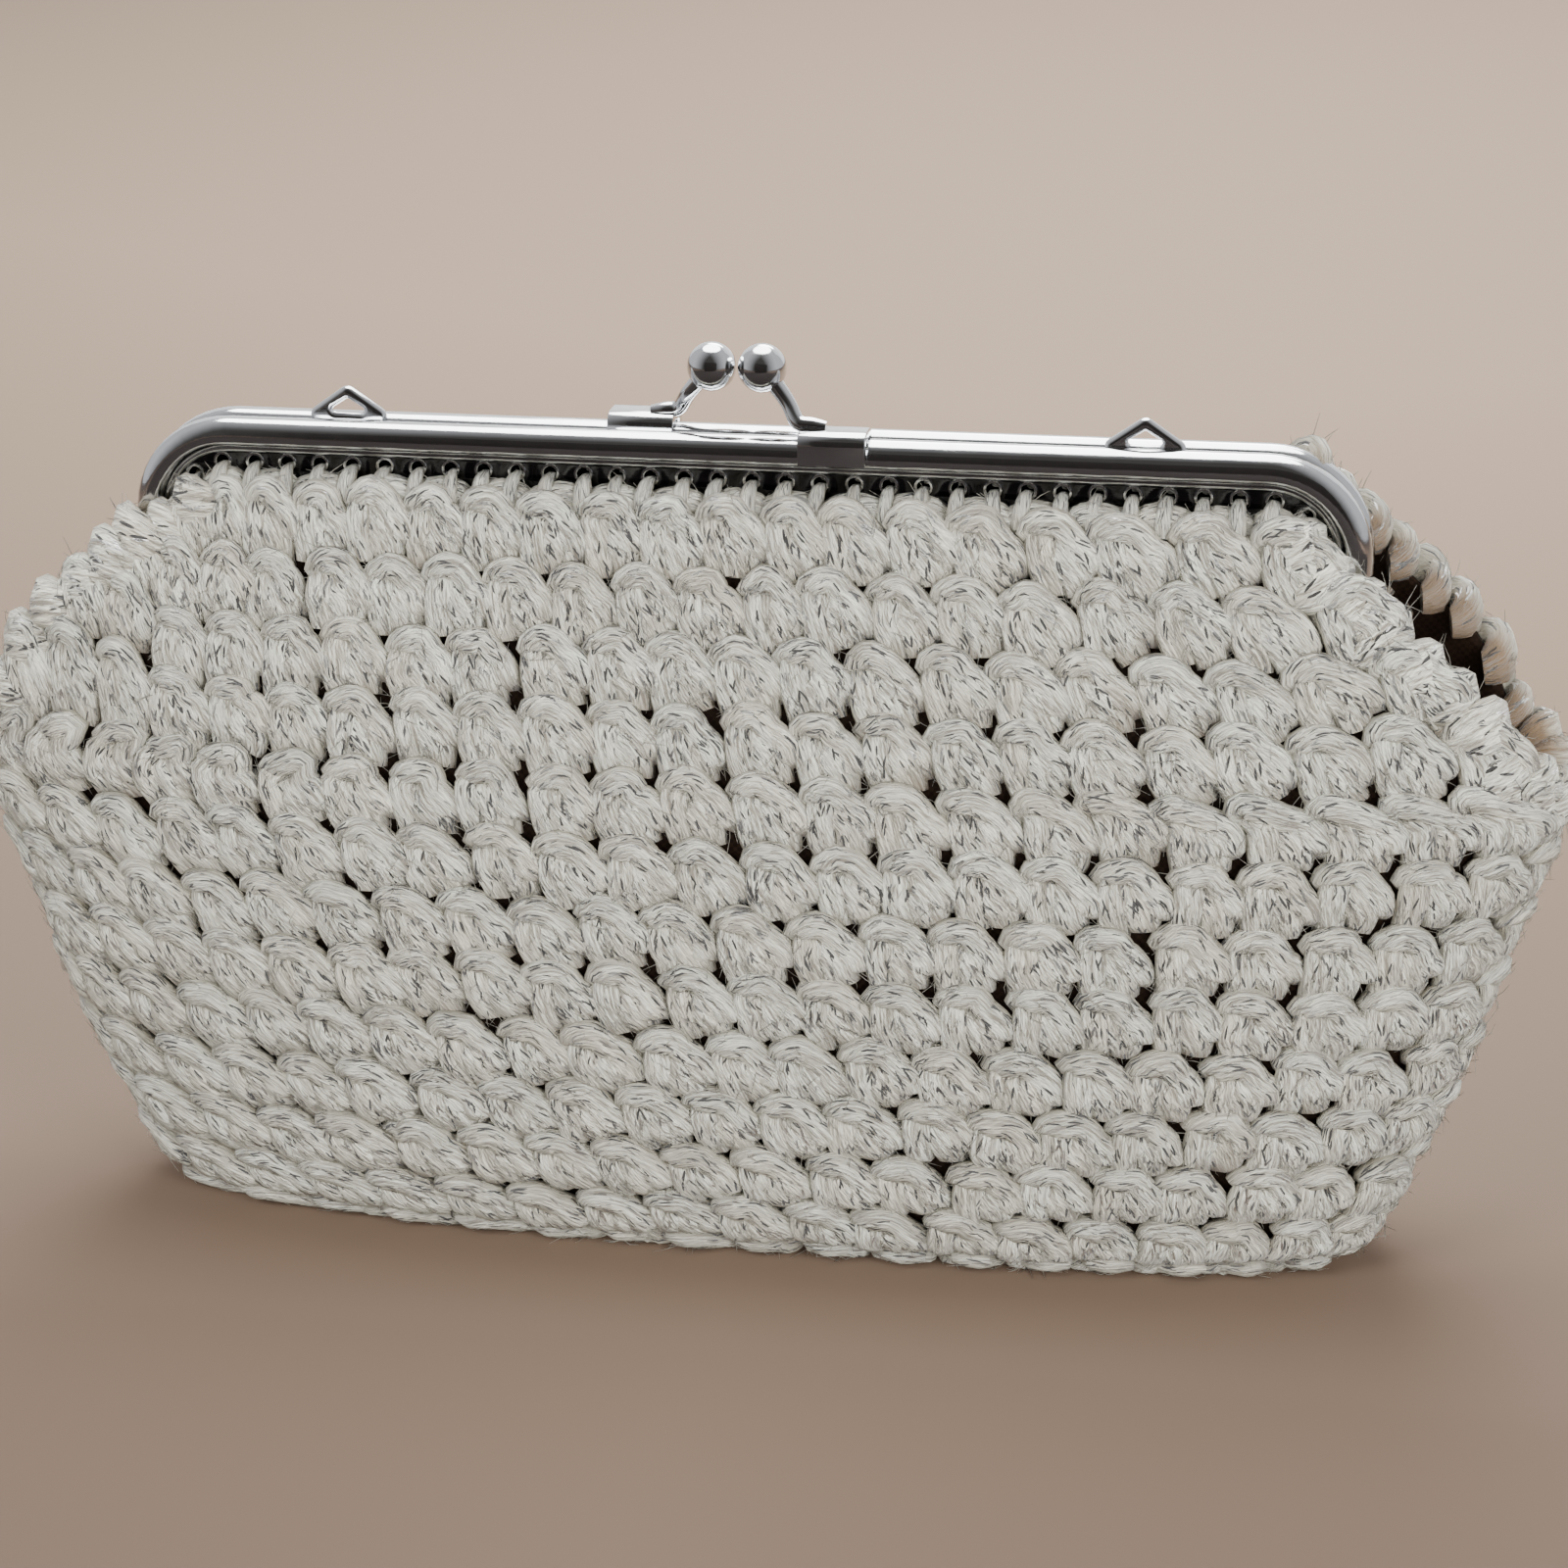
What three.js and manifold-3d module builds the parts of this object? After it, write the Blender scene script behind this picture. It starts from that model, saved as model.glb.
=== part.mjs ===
// A crochet clutch bag on a sew-in kiss-lock purse frame, standing on its base.
// Millimetres, +Z up, +X along the frame, -Y towards the front. The origin is the middle of the base.
// The chunky crochet pouch hangs from two equal chromed frame halves, riveted at the ends of their legs.

import * as THREE from 'three';
import { mergeVertices } from 'three/addons/utils/BufferGeometryUtils.js';
import Module from 'manifold-3d';

// Purse frame
const FRAME_WIDTH = 205;
const FRAME_TOP = 141;
const FRAME_CORNER_RADIUS = 17;
const LEG_LENGTH = 19;
const SEAM_GAP = 0.4;
const BAR_DEPTH = 5.6;
const BAR_HEIGHT = 4.2;
const SEAM_RADIUS = 1.2;
const RIDGE_RADIUS = 0.6;
const RIDGE_DROP = 5.2;
const FLANGE_THICKNESS = 1.0;
const FLANGE_DEPTH = 2.4;
const FLANGE_BOTTOM = 11.4;
const FLANGE_ROOT = 3;
const SEWING_HOLE_RADIUS = 1.2;
const SEWING_HOLE_DROP = 7.4;
const SEWING_HOLE_PITCH = 5.6;
const CORNER_STEPS = 6;
const CLEARANCE = 0.3;

// Hinge at the end of each leg
const HINGE_DROP = 23;
const HINGE_EYE_RADIUS = 3;
const HINGE_PIN_RADIUS = 1.2;
const HINGE_HEAD_RADIUS = 2.3;
const HINGE_HEAD_THICKNESS = 0.9;
const HINGE_TAB_THICKNESS = 1.4;
const HINGE_TAB_REACH = 3.4;
const HINGE_TAB_INNER_X = 98.6;

// Kiss-lock knob, a ball on a bent neck with a saddle crimped over the bar
const BALL_RADIUS = 4;
const BALL_SPACING = 8.3;
const BALL_LIFT = 10.4;
const NECK_RADIUS = 1.3;
const SADDLE_START = 11;
const SADDLE_LENGTH = 11;
const SADDLE_THICKNESS = 0.9;
const SADDLE_REACH = 3.4;

// Triangular chain loop, let into the seam side of the bar
const LOOP_X = 66;
const LOOP_BASE = 13;
const LOOP_RISE = 4.7;
const LOOP_SINK = 1.9;
const LOOP_STRIP = 1.5;
const LOOP_DEPTH = 1.9;
const LOOP_CORNER = 1.1;

// Crochet pouch
const WALL = 5.2;
const HOLLOW_SQUARING = 0.6;
const MOUTH_HALF_GAP = 3.9;
const SLIT_BOTTOM = 88;
const STITCH_COLUMNS = 46;
const STITCH_RELIEF = 1.4;
const BASE_THICKNESS = 4.6;
// One row for each section of the pouch, from the base up to the edge sewn to the frame.
const POUCH_SECTIONS = [
  { z: 0, halfWidth: 98, halfDepth: 17, squareness: 3 },
  { z: 4, halfWidth: 107, halfDepth: 21.5, squareness: 2.9 },
  { z: 14, halfWidth: 112, halfDepth: 25.5, squareness: 2.8 },
  { z: 34, halfWidth: 120.5, halfDepth: 28.5, squareness: 2.7 },
  { z: 60, halfWidth: 128.5, halfDepth: 28.5, squareness: 2.7 },
  { z: 78, halfWidth: 134, halfDepth: 26, squareness: 2.8 },
  { z: 90, halfWidth: 135, halfDepth: 23.5, squareness: 3 },
  { z: 100, halfWidth: 131.5, halfDepth: 20.5, squareness: 3.6 },
  { z: 108, halfWidth: 124.5, halfDepth: 17.8, squareness: 4.2 },
  { z: 115, halfWidth: 112.5, halfDepth: 15.2, squareness: 5 },
  { z: 120, halfWidth: 100, halfDepth: 13.3, squareness: 6 },
  { z: 124, halfWidth: 92.5, halfDepth: 12.2, squareness: 7 },
  { z: 131, halfWidth: 89.5, halfDepth: 10.8, squareness: 9 },
];
const STITCH_ROWS = 12;

const CHROME = { color: 0xd4d8da, roughness: 0.12, metalness: 1 };
const YARN = { color: 0xd8d5ca, roughness: 0.9, metalness: 0 };

const wasm = await Module();
wasm.setup();

// Turns a closed three.js geometry into a solid that can be joined and cut.
function toSolid(geometry) {
  const bare = geometry.index ? geometry.clone() : mergeVertices(geometry);
  bare.deleteAttribute('normal');
  bare.deleteAttribute('uv');
  const merged = mergeVertices(bare, 1e-4);
  const vertProperties = new Float32Array(merged.attributes.position.array);
  const triVerts = new Uint32Array(merged.index.array);
  return new wasm.Manifold(new wasm.Mesh({ numProp: 3, vertProperties, triVerts }));
}

// Turns a solid back into a three.js geometry with flat faces.
function toGeometry(solid) {
  const mesh = solid.getMesh();
  const geometry = new THREE.BufferGeometry();
  geometry.setAttribute('position', new THREE.BufferAttribute(mesh.vertProperties, 3));
  geometry.setIndex(new THREE.BufferAttribute(mesh.triVerts, 1));
  geometry.computeVertexNormals();
  return geometry;
}

// Skins a row of equal rings into one closed body. A contour, in two dimensions, triangulates both ends.
// With no contour, each end is a fan about its middle.
function loft(rings, contour) {
  const count = rings[0].length;
  const points = rings.flat();
  const indices = [];
  for (let ring = 0; ring + 1 < rings.length; ring += 1) {
    for (let i = 0; i < count; i += 1) {
      const next = (i + 1) % count;
      const [a, b] = [ring * count + i, ring * count + next];
      indices.push(a, b, b + count, a, b + count, a + count);
    }
  }
  const lastRing = (rings.length - 1) * count;
  if (contour) {
    for (const [a, b, c] of THREE.ShapeUtils.triangulateShape(contour, [])) {
      indices.push(a, c, b, lastRing + a, lastRing + b, lastRing + c);
    }
  } else {
    const middles = [rings[0], rings.at(-1)].map((ring) => ring.reduce(
      (sum, point) => sum.addScaledVector(point, 1 / count), new THREE.Vector3(),
    ));
    const [firstMiddle, lastMiddle] = [points.length, points.length + 1];
    points.push(...middles);
    for (let i = 0; i < count; i += 1) {
      const next = (i + 1) % count;
      indices.push(firstMiddle, next, i, lastMiddle, lastRing + i, lastRing + next);
    }
  }
  const geometry = new THREE.BufferGeometry().setFromPoints(points);
  geometry.setIndex(indices);
  return geometry;
}

// Extrudes a shape drawn in the X-Z plane from depth y = near back to y = near + thickness.
function plateXZ(shape, near, thickness, curveSegments) {
  const geometry = new THREE.ExtrudeGeometry(shape, { depth: thickness, bevelEnabled: false, curveSegments });
  geometry.rotateX(Math.PI / 2);
  geometry.translate(0, near + thickness, 0);
  return geometry;
}

// Extrudes a shape drawn in the Y-Z plane along +X from the given start.
function plateYZ(shape, start, length, curveSegments) {
  const geometry = new THREE.ExtrudeGeometry(shape, { depth: length, bevelEnabled: false, curveSegments });
  const [axisX, axisY, axisZ] = [[1, 0, 0], [0, 1, 0], [0, 0, 1]].map((axis) => new THREE.Vector3(...axis));
  geometry.applyMatrix4(new THREE.Matrix4().makeBasis(axisY, axisZ, axisX));
  geometry.translate(start, 0, 0);
  return geometry;
}

function boxBetween(low, high) {
  const size = high.map((value, axis) => value - low[axis]);
  const geometry = new THREE.BoxGeometry(...size);
  geometry.translate(...low.map((value, axis) => value + size[axis] / 2));
  return geometry;
}

// Stations along the outer edge of the frame's U, each with its inward normal in the X-Z plane.
function frameStations() {
  const cornerX = FRAME_WIDTH / 2 - FRAME_CORNER_RADIUS;
  const cornerZ = FRAME_TOP - FRAME_CORNER_RADIUS;
  const stations = [{ x: -FRAME_WIDTH / 2, z: FRAME_TOP - LEG_LENGTH, nx: 1, nz: 0 }];
  for (const side of [-1, 1]) {
    for (let step = 0; step <= CORNER_STEPS; step += 1) {
      const share = side < 0 ? step / CORNER_STEPS : 1 - step / CORNER_STEPS;
      const angle = share * Math.PI / 2;
      const [nx, nz] = [-side * Math.cos(angle), -Math.sin(angle)];
      const x = side * cornerX - nx * FRAME_CORNER_RADIUS;
      stations.push({ x, z: cornerZ - nz * FRAME_CORNER_RADIUS, nx, nz });
    }
  }
  stations.push({ x: FRAME_WIDTH / 2, z: FRAME_TOP - LEG_LENGTH, nx: -1, nz: 0 });
  return stations;
}

// Section of the bar: depth away from the seam across, drop from the outer edge down.
function barSection() {
  const beadRadius = BAR_HEIGHT / 2;
  const beadCentre = BAR_DEPTH - beadRadius;
  const flangeFace = FLANGE_DEPTH + FLANGE_THICKNESS;
  const section = new THREE.Shape();
  section.moveTo(0, BAR_HEIGHT);
  section.absarc(SEAM_RADIUS, SEAM_RADIUS, SEAM_RADIUS, Math.PI, 1.5 * Math.PI, false);
  section.absarc(beadCentre, beadRadius, beadRadius, -Math.PI / 2, Math.PI / 2, false);
  section.absarc(flangeFace, RIDGE_DROP, RIDGE_RADIUS, -Math.PI / 2, Math.PI / 2, false);
  section.lineTo(FLANGE_DEPTH, RIDGE_DROP + RIDGE_RADIUS);
  section.lineTo(FLANGE_DEPTH, BAR_HEIGHT);
  const arcDivisions = 2;
  return section.getPoints(arcDivisions);
}

// Front face depth of something that lies a given depth away from the seam, on the front half.
const frontY = (depth) => -(SEAM_GAP / 2 + depth);

function frameBar() {
  const section = barSection();
  const rings = frameStations().map(({ x, z, nx, nz }) => section.map(
    (point) => new THREE.Vector3(x + nx * point.y, frontY(point.x), z + nz * point.y),
  ));
  return loft(rings, section);
}

// Adds the U of the frame, moved inward by a drop, to a path, from one leg end to the other.
function traceFrame(path, drop, reversed, radius = FRAME_CORNER_RADIUS - drop) {
  const [side, legEnd] = [FRAME_WIDTH / 2 - drop, FRAME_TOP - LEG_LENGTH];
  const [cornerX, cornerZ] = [side - radius, FRAME_TOP - drop - radius];
  const sign = reversed ? 1 : -1;
  path.lineTo(sign * side, legEnd);
  const first = reversed ? 0 : Math.PI;
  path.absarc(sign * cornerX, cornerZ, radius, first, Math.PI / 2, !reversed);
  path.absarc(-sign * cornerX, cornerZ, radius, Math.PI / 2, Math.PI - first, !reversed);
  path.lineTo(-sign * side, legEnd);
}

// Places of the sewing holes, evenly spaced along a line inside the flange.
function sewingHolePlaces() {
  const line = new THREE.Path();
  line.moveTo(-(FRAME_WIDTH / 2 - SEWING_HOLE_DROP), FRAME_TOP - LEG_LENGTH);
  traceFrame(line, SEWING_HOLE_DROP, false);
  const gaps = Math.floor(line.getLength() / SEWING_HOLE_PITCH) - 1;
  const margin = (line.getLength() - gaps * SEWING_HOLE_PITCH) / 2;
  const places = [];
  for (let i = 0; i <= gaps; i += 1) {
    places.push(line.getPointAt((margin + i * SEWING_HOLE_PITCH) / line.getLength()));
  }
  return places;
}

// Flat flange inside the bar, pierced for sewing the pouch on.
function flangePlate() {
  const plate = new THREE.Shape();
  plate.moveTo(FRAME_WIDTH / 2 - FLANGE_ROOT, FRAME_TOP - LEG_LENGTH);
  traceFrame(plate, FLANGE_ROOT, true);
  traceFrame(plate, FLANGE_BOTTOM, false);
  for (const { x, y } of sewingHolePlaces()) {
    const hole = new THREE.Path();
    hole.absarc(x, y, SEWING_HOLE_RADIUS, 0, 2 * Math.PI, true);
    plate.holes.push(hole);
  }
  const holeSegments = 4;
  return plateXZ(plate, frontY(FLANGE_DEPTH + FLANGE_THICKNESS), FLANGE_THICKNESS, holeSegments);
}

// Eye at the end of a leg, reaching from its own half over to the hinge axis at the seam.
function hingeTab(startX) {
  const [legEnd, hingeZ] = [FRAME_TOP - LEG_LENGTH, FRAME_TOP - HINGE_DROP];
  const innerY = frontY(2 * CLEARANCE);
  const turnIn = Math.acos(innerY / HINGE_EYE_RADIUS);
  const tab = new THREE.Shape();
  tab.moveTo(-HINGE_TAB_REACH, legEnd + SEAM_RADIUS);
  tab.lineTo(-HINGE_TAB_REACH, legEnd);
  tab.absarc(0, hingeZ, HINGE_EYE_RADIUS, Math.PI, 2 * Math.PI + turnIn, false);
  tab.lineTo(innerY, legEnd + SEAM_RADIUS);
  const eye = new THREE.Path();
  eye.absarc(0, hingeZ, HINGE_PIN_RADIUS + CLEARANCE, 0, 2 * Math.PI, true);
  tab.holes.push(eye);
  const eyeSegments = 6;
  return plateYZ(tab, startX, HINGE_TAB_THICKNESS, eyeSegments);
}

// Recesses in the seam side of the bar, for the knob's saddle and the chain loop's base.
function seamPocket(startX, length, depth, bottom) {
  return boxBetween(
    [startX - CLEARANCE, frontY(depth), FRAME_TOP - bottom],
    [startX + length + CLEARANCE, SEAM_GAP, FRAME_TOP + BAR_HEIGHT],
  );
}

function frameHalf() {
  const outerTabX = HINGE_TAB_INNER_X + HINGE_TAB_THICKNESS + 1.4 * CLEARANCE;
  const saddlePocket = seamPocket(
    SADDLE_START, SADDLE_LENGTH, SADDLE_THICKNESS + 1.4 * CLEARANCE, SADDLE_REACH + CLEARANCE,
  );
  const loopPocket = seamPocket(
    LOOP_X - LOOP_BASE / 2, LOOP_BASE, LOOP_DEPTH + 1.4 * CLEARANCE, LOOP_SINK + CLEARANCE,
  );
  return toGeometry(
    toSolid(frameBar())
      .add(toSolid(flangePlate()))
      .add(toSolid(hingeTab(HINGE_TAB_INNER_X)))
      .add(toSolid(hingeTab(-outerTabX - HINGE_TAB_THICKNESS)))
      .subtract(toSolid(saddlePocket))
      .subtract(toSolid(loopPocket)),
  );
}

// Saddle, neck and ball of one knob, soldered into one piece.
function kissLockKnob() {
  const [seamY, outerY] = [frontY(0.1), frontY(BAR_DEPTH + CLEARANCE + SADDLE_THICKNESS)];
  const crown = FRAME_TOP + CLEARANCE + SADDLE_THICKNESS;
  const foot = FRAME_TOP - SADDLE_REACH;
  const saddle = new THREE.Shape([
    [seamY, foot],
    [seamY, crown],
    [outerY, crown],
    [outerY, foot],
    [outerY + SADDLE_THICKNESS, foot],
    [outerY + SADDLE_THICKNESS, crown - SADDLE_THICKNESS],
    [seamY - SADDLE_THICKNESS, crown - SADDLE_THICKNESS],
    [seamY - SADDLE_THICKNESS, foot],
  ].map(([y, z]) => new THREE.Vector2(y, z)));

  const ballX = BALL_SPACING / 2;
  const barMiddle = frontY(BAR_DEPTH / 2);
  const neckLine = new THREE.CatmullRomCurve3([
    new THREE.Vector3(SADDLE_START + 2.4, barMiddle, crown + 0.2),
    new THREE.Vector3(SADDLE_START - 0.6, barMiddle, crown + 0.7),
    new THREE.Vector3(ballX + 4.4, barMiddle / 2, FRAME_TOP + BALL_LIFT / 2),
    new THREE.Vector3(ballX, 0, FRAME_TOP + BALL_LIFT),
  ]);
  const wire = new THREE.Shape();
  wire.absarc(0, 0, NECK_RADIUS, 0, 2 * Math.PI, false);
  const neck = new THREE.ExtrudeGeometry(wire, { extrudePath: neckLine, steps: 9, curveSegments: 5 });

  const ball = new THREE.SphereGeometry(BALL_RADIUS, 18, 12);
  ball.translate(ballX, 0, FRAME_TOP + BALL_LIFT);

  return toGeometry(
    toSolid(plateYZ(saddle, SADDLE_START, SADDLE_LENGTH, 1)).add(toSolid(neck)).add(toSolid(ball)),
  );
}

// Triangle with rounded corners, symmetric about x = LOOP_X.
function loopOutline(outline, halfBase, bottom, top, corner) {
  const rise = top - bottom - 2 * corner;
  const lean = Math.atan2(rise, halfBase - corner);
  const normal = Math.PI / 2 - lean;
  outline.absarc(LOOP_X + halfBase - corner, bottom + corner, corner, -Math.PI / 2, normal, false);
  outline.absarc(LOOP_X, top - corner, corner, normal, Math.PI - normal, false);
  outline.absarc(LOOP_X - halfBase + corner, bottom + corner, corner, Math.PI - normal, 1.5 * Math.PI, false);
}

function chainLoop() {
  const [bottom, top] = [FRAME_TOP - LOOP_SINK, FRAME_TOP + LOOP_RISE];
  const loop = new THREE.Shape();
  loopOutline(loop, LOOP_BASE / 2, bottom, top, LOOP_CORNER);
  const eye = new THREE.Path();
  const eyeInset = 1.75 * LOOP_STRIP;
  loopOutline(eye, LOOP_BASE / 2 - eyeInset, bottom + LOOP_STRIP, top - LOOP_STRIP, LOOP_CORNER / 3);
  loop.holes.push(eye);
  const cornerSegments = 3;
  return plateXZ(loop, frontY(LOOP_DEPTH + 0.1), LOOP_DEPTH, cornerSegments);
}

// Rivet with a head at each end, turned along X.
function hingePin() {
  const tabs = 2 * HINGE_TAB_THICKNESS + 1.4 * CLEARANCE;
  const halfGrip = tabs / 2 + CLEARANCE;
  const halfLength = halfGrip + HINGE_HEAD_THICKNESS;
  const profile = [
    [0, -halfLength],
    [HINGE_HEAD_RADIUS, -halfLength],
    [HINGE_HEAD_RADIUS, -halfGrip],
    [HINGE_PIN_RADIUS, -halfGrip],
    [HINGE_PIN_RADIUS, halfGrip],
    [HINGE_HEAD_RADIUS, halfGrip],
    [HINGE_HEAD_RADIUS, halfLength],
    [0, halfLength],
  ].map(([radius, along]) => new THREE.Vector2(radius, along));
  const pin = new THREE.LatheGeometry(profile, 14);
  pin.rotateZ(Math.PI / 2);
  return toGeometry(toSolid(pin));
}

// One value of the pouch at height z, smooth through the table's rows.
function pouchValue(name, z) {
  const last = POUCH_SECTIONS.length - 1;
  const row = Math.min(POUCH_SECTIONS.findIndex((section) => section.z > z), last);
  const upper = row < 0 ? last : row;
  const [a, b] = [POUCH_SECTIONS[upper - 1], POUCH_SECTIONS[upper]];
  const before = POUCH_SECTIONS[Math.max(upper - 2, 0)];
  const after = POUCH_SECTIONS[Math.min(upper + 1, last)];
  const span = b.z - a.z;
  const slope = (from, to) => (to[name] - from[name]) / (to.z - from.z) * span;
  const [startSlope, endSlope] = [slope(before, b), slope(a, after)];
  const t = (z - a.z) / span;
  const [t2, t3] = [t * t, t * t * t];
  return (2 * t3 - 3 * t2 + 1) * a[name] + (t3 - 2 * t2 + t) * startSlope
    + (3 * t2 - 2 * t3) * b[name] + (t3 - t2) * endSlope;
}

// Ring of a superellipse, with its points evenly spaced along its length.
function pouchRing(halfWidth, halfDepth, squareness, count) {
  const fine = 720;
  const raw = [];
  for (let i = 0; i < fine; i += 1) {
    const angle = i / fine * 2 * Math.PI;
    const [c, s] = [Math.cos(angle), Math.sin(angle)];
    const x = Math.sign(c) * Math.abs(c) ** (2 / squareness) * halfWidth;
    const y = Math.sign(s) * Math.abs(s) ** (2 / squareness) * halfDepth;
    raw.push(new THREE.Vector3(x, y, 0));
  }
  const line = new THREE.CurvePath();
  raw.forEach((point, i) => line.add(new THREE.LineCurve3(point, raw[(i + 1) % fine])));
  return Array.from({ length: count }, (_, i) => line.getPointAt(i / count));
}

// Heights of the rings of the outer skin: two to each row of stitches, evenly spaced up the front.
function rowHeights() {
  const top = POUCH_SECTIONS.at(-1).z;
  const fine = 400;
  const side = Array.from({ length: fine + 1 }, (_, i) => {
    const z = i / fine * top;
    return new THREE.Vector2(pouchValue('halfDepth', z), z);
  });
  const profile = new THREE.CurvePath();
  side.slice(1).forEach((point, i) => profile.add(new THREE.LineCurve(side[i], point)));
  const steps = 2 * STITCH_ROWS;
  return Array.from({ length: steps + 1 }, (_, i) => profile.getPointAt(i / steps).y);
}

// Outer skin of the pouch. Each stitch is a low bump, with its crest on the table's outline.
function pouchSkin() {
  const count = 2 * STITCH_COLUMNS;
  const heights = rowHeights();
  const lastLevel = heights.length - 1;
  const rings = heights.map((z, level) => {
    const betweenRows = level % 2 === 0 && level > 0 && level < lastLevel;
    const [width, depth] = [pouchValue('halfWidth', z), pouchValue('halfDepth', z)];
    const ring = pouchRing(width, depth, pouchValue('squareness', z), count);
    return ring.map((point, i) => {
      const betweenColumns = i % 2 === 0;
      const sink = betweenRows || betweenColumns ? STITCH_RELIEF : 0;
      const inward = new THREE.Vector2(point.x / width ** 2, point.y / depth ** 2).normalize();
      return new THREE.Vector3(point.x - inward.x * sink, point.y - inward.y * sink, z);
    });
  });
  return loft(rings);
}

// Hollow inside of the pouch, one wall's thickness in from the skin, with slightly squarer corners.
function pouchHollow() {
  const count = 40;
  const levels = [BASE_THICKNESS, 14, 34, 60, 80, 94, 106, 116, 125];
  const rings = levels.map((z) => pouchRing(
    pouchValue('halfWidth', z) - 1.3 * WALL,
    pouchValue('halfDepth', z) - WALL,
    pouchValue('squareness', z) + HOLLOW_SQUARING,
    count,
  ).map((point) => point.setZ(z)));
  return loft(rings);
}

// The mouth runs on past the frame's legs as an open slit down both upper sides.
function pouchMouth() {
  const reach = FRAME_WIDTH;
  return boxBetween([-reach, -MOUTH_HALF_GAP, SLIT_BOTTOM], [reach, MOUTH_HALF_GAP, FRAME_TOP]);
}

function crochetPouch() {
  return toGeometry(
    toSolid(pouchSkin()).subtract(toSolid(pouchHollow())).subtract(toSolid(pouchMouth())),
  );
}

function named(name, geometry, finish) {
  const mesh = new THREE.Mesh(geometry, new THREE.MeshStandardMaterial(finish));
  mesh.name = name;
  return mesh;
}

const bag = new THREE.Group();
bag.add(named('crochet_pouch', crochetPouch(), YARN));

// Both frame halves are the same part: the back one is the front one turned half round.
for (const [side, turn] of [['front', 0], ['back', Math.PI]]) {
  const half = new THREE.Group();
  half.rotation.z = turn;
  half.add(named(`${side}_frame`, frameHalf(), CHROME));
  half.add(named(`${side}_knob`, kissLockKnob(), CHROME));
  half.add(named(`${side}_chain_loop`, chainLoop(), CHROME));
  bag.add(half);
}

for (const [side, sign] of [['left', -1], ['right', 1]]) {
  const pin = named(`hinge_pin_${side}`, hingePin(), CHROME);
  const gripMiddle = HINGE_TAB_INNER_X + HINGE_TAB_THICKNESS + 0.7 * CLEARANCE;
  pin.position.set(sign * gripMiddle, 0, FRAME_TOP - HINGE_DROP);
  bag.add(pin);
}

export default bag;
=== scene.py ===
import bmesh
import bpy
import numpy as np
from mathutils import Matrix, Vector


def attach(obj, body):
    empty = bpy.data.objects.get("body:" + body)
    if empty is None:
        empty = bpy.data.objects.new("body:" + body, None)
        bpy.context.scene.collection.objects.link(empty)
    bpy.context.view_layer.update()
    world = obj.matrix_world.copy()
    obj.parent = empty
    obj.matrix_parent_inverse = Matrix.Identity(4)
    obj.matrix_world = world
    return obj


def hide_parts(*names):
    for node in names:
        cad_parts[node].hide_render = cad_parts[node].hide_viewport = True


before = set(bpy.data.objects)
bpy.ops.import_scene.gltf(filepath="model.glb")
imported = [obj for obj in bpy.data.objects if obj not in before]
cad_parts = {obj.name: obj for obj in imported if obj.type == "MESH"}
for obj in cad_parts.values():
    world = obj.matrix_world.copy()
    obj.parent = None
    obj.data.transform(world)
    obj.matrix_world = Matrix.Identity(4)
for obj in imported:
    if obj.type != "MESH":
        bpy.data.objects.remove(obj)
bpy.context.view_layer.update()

# Camera. It stands where the photograph was taken from: a little to the right of the bag, above it,
# and turned slightly about its own axis. The focal length is in pixels of a picture 1600 pixels wide.
PICTURE_WIDTH = 1600
FOCAL_PIXELS = 3750
SENSOR_WIDTH_MM = 36
VIEW_AZIMUTH = np.radians(11.3)
VIEW_ELEVATION = np.radians(21.5)
VIEW_ROLL = np.radians(-1.1)
VIEW_DISTANCE = 0.616
VIEW_TARGET = Vector((0.0064, 0.0, 0.0797))

forward = Vector((
    -np.sin(VIEW_AZIMUTH) * np.cos(VIEW_ELEVATION),
    np.cos(VIEW_AZIMUTH) * np.cos(VIEW_ELEVATION),
    -np.sin(VIEW_ELEVATION),
))
level_right = Vector((np.cos(VIEW_AZIMUTH), np.sin(VIEW_AZIMUTH), 0.0))
level_up = level_right.cross(forward)
camera_right = level_right * np.cos(VIEW_ROLL) + level_up * np.sin(VIEW_ROLL)
camera_up = level_up * np.cos(VIEW_ROLL) - level_right * np.sin(VIEW_ROLL)
camera_data = bpy.data.cameras.new("photograph_camera")
camera_data.sensor_width = SENSOR_WIDTH_MM
camera_data.lens = FOCAL_PIXELS / PICTURE_WIDTH * SENSOR_WIDTH_MM


def new_object(name, data):
    """New object in the scene that holds this data."""
    made = bpy.data.objects.new(name, data)
    bpy.context.scene.collection.objects.link(made)
    return made


camera = new_object("photograph_camera", camera_data)
camera_turn = Matrix((camera_right, camera_up, -forward)).transposed().to_4x4()
camera.matrix_world = Matrix.Translation(VIEW_TARGET - forward * VIEW_DISTANCE) @ camera_turn
bpy.context.scene.camera = camera

# Crochet pouch. One thick, soft, hardly twisted strand of off-white yarn with metallic flecks, worked in
# single crochet from the base up: a hook over an upright and an inner leg, with a small hole at its upper
# left. Above the widest point front and back are worked apart, and their open sides are bound.

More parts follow.
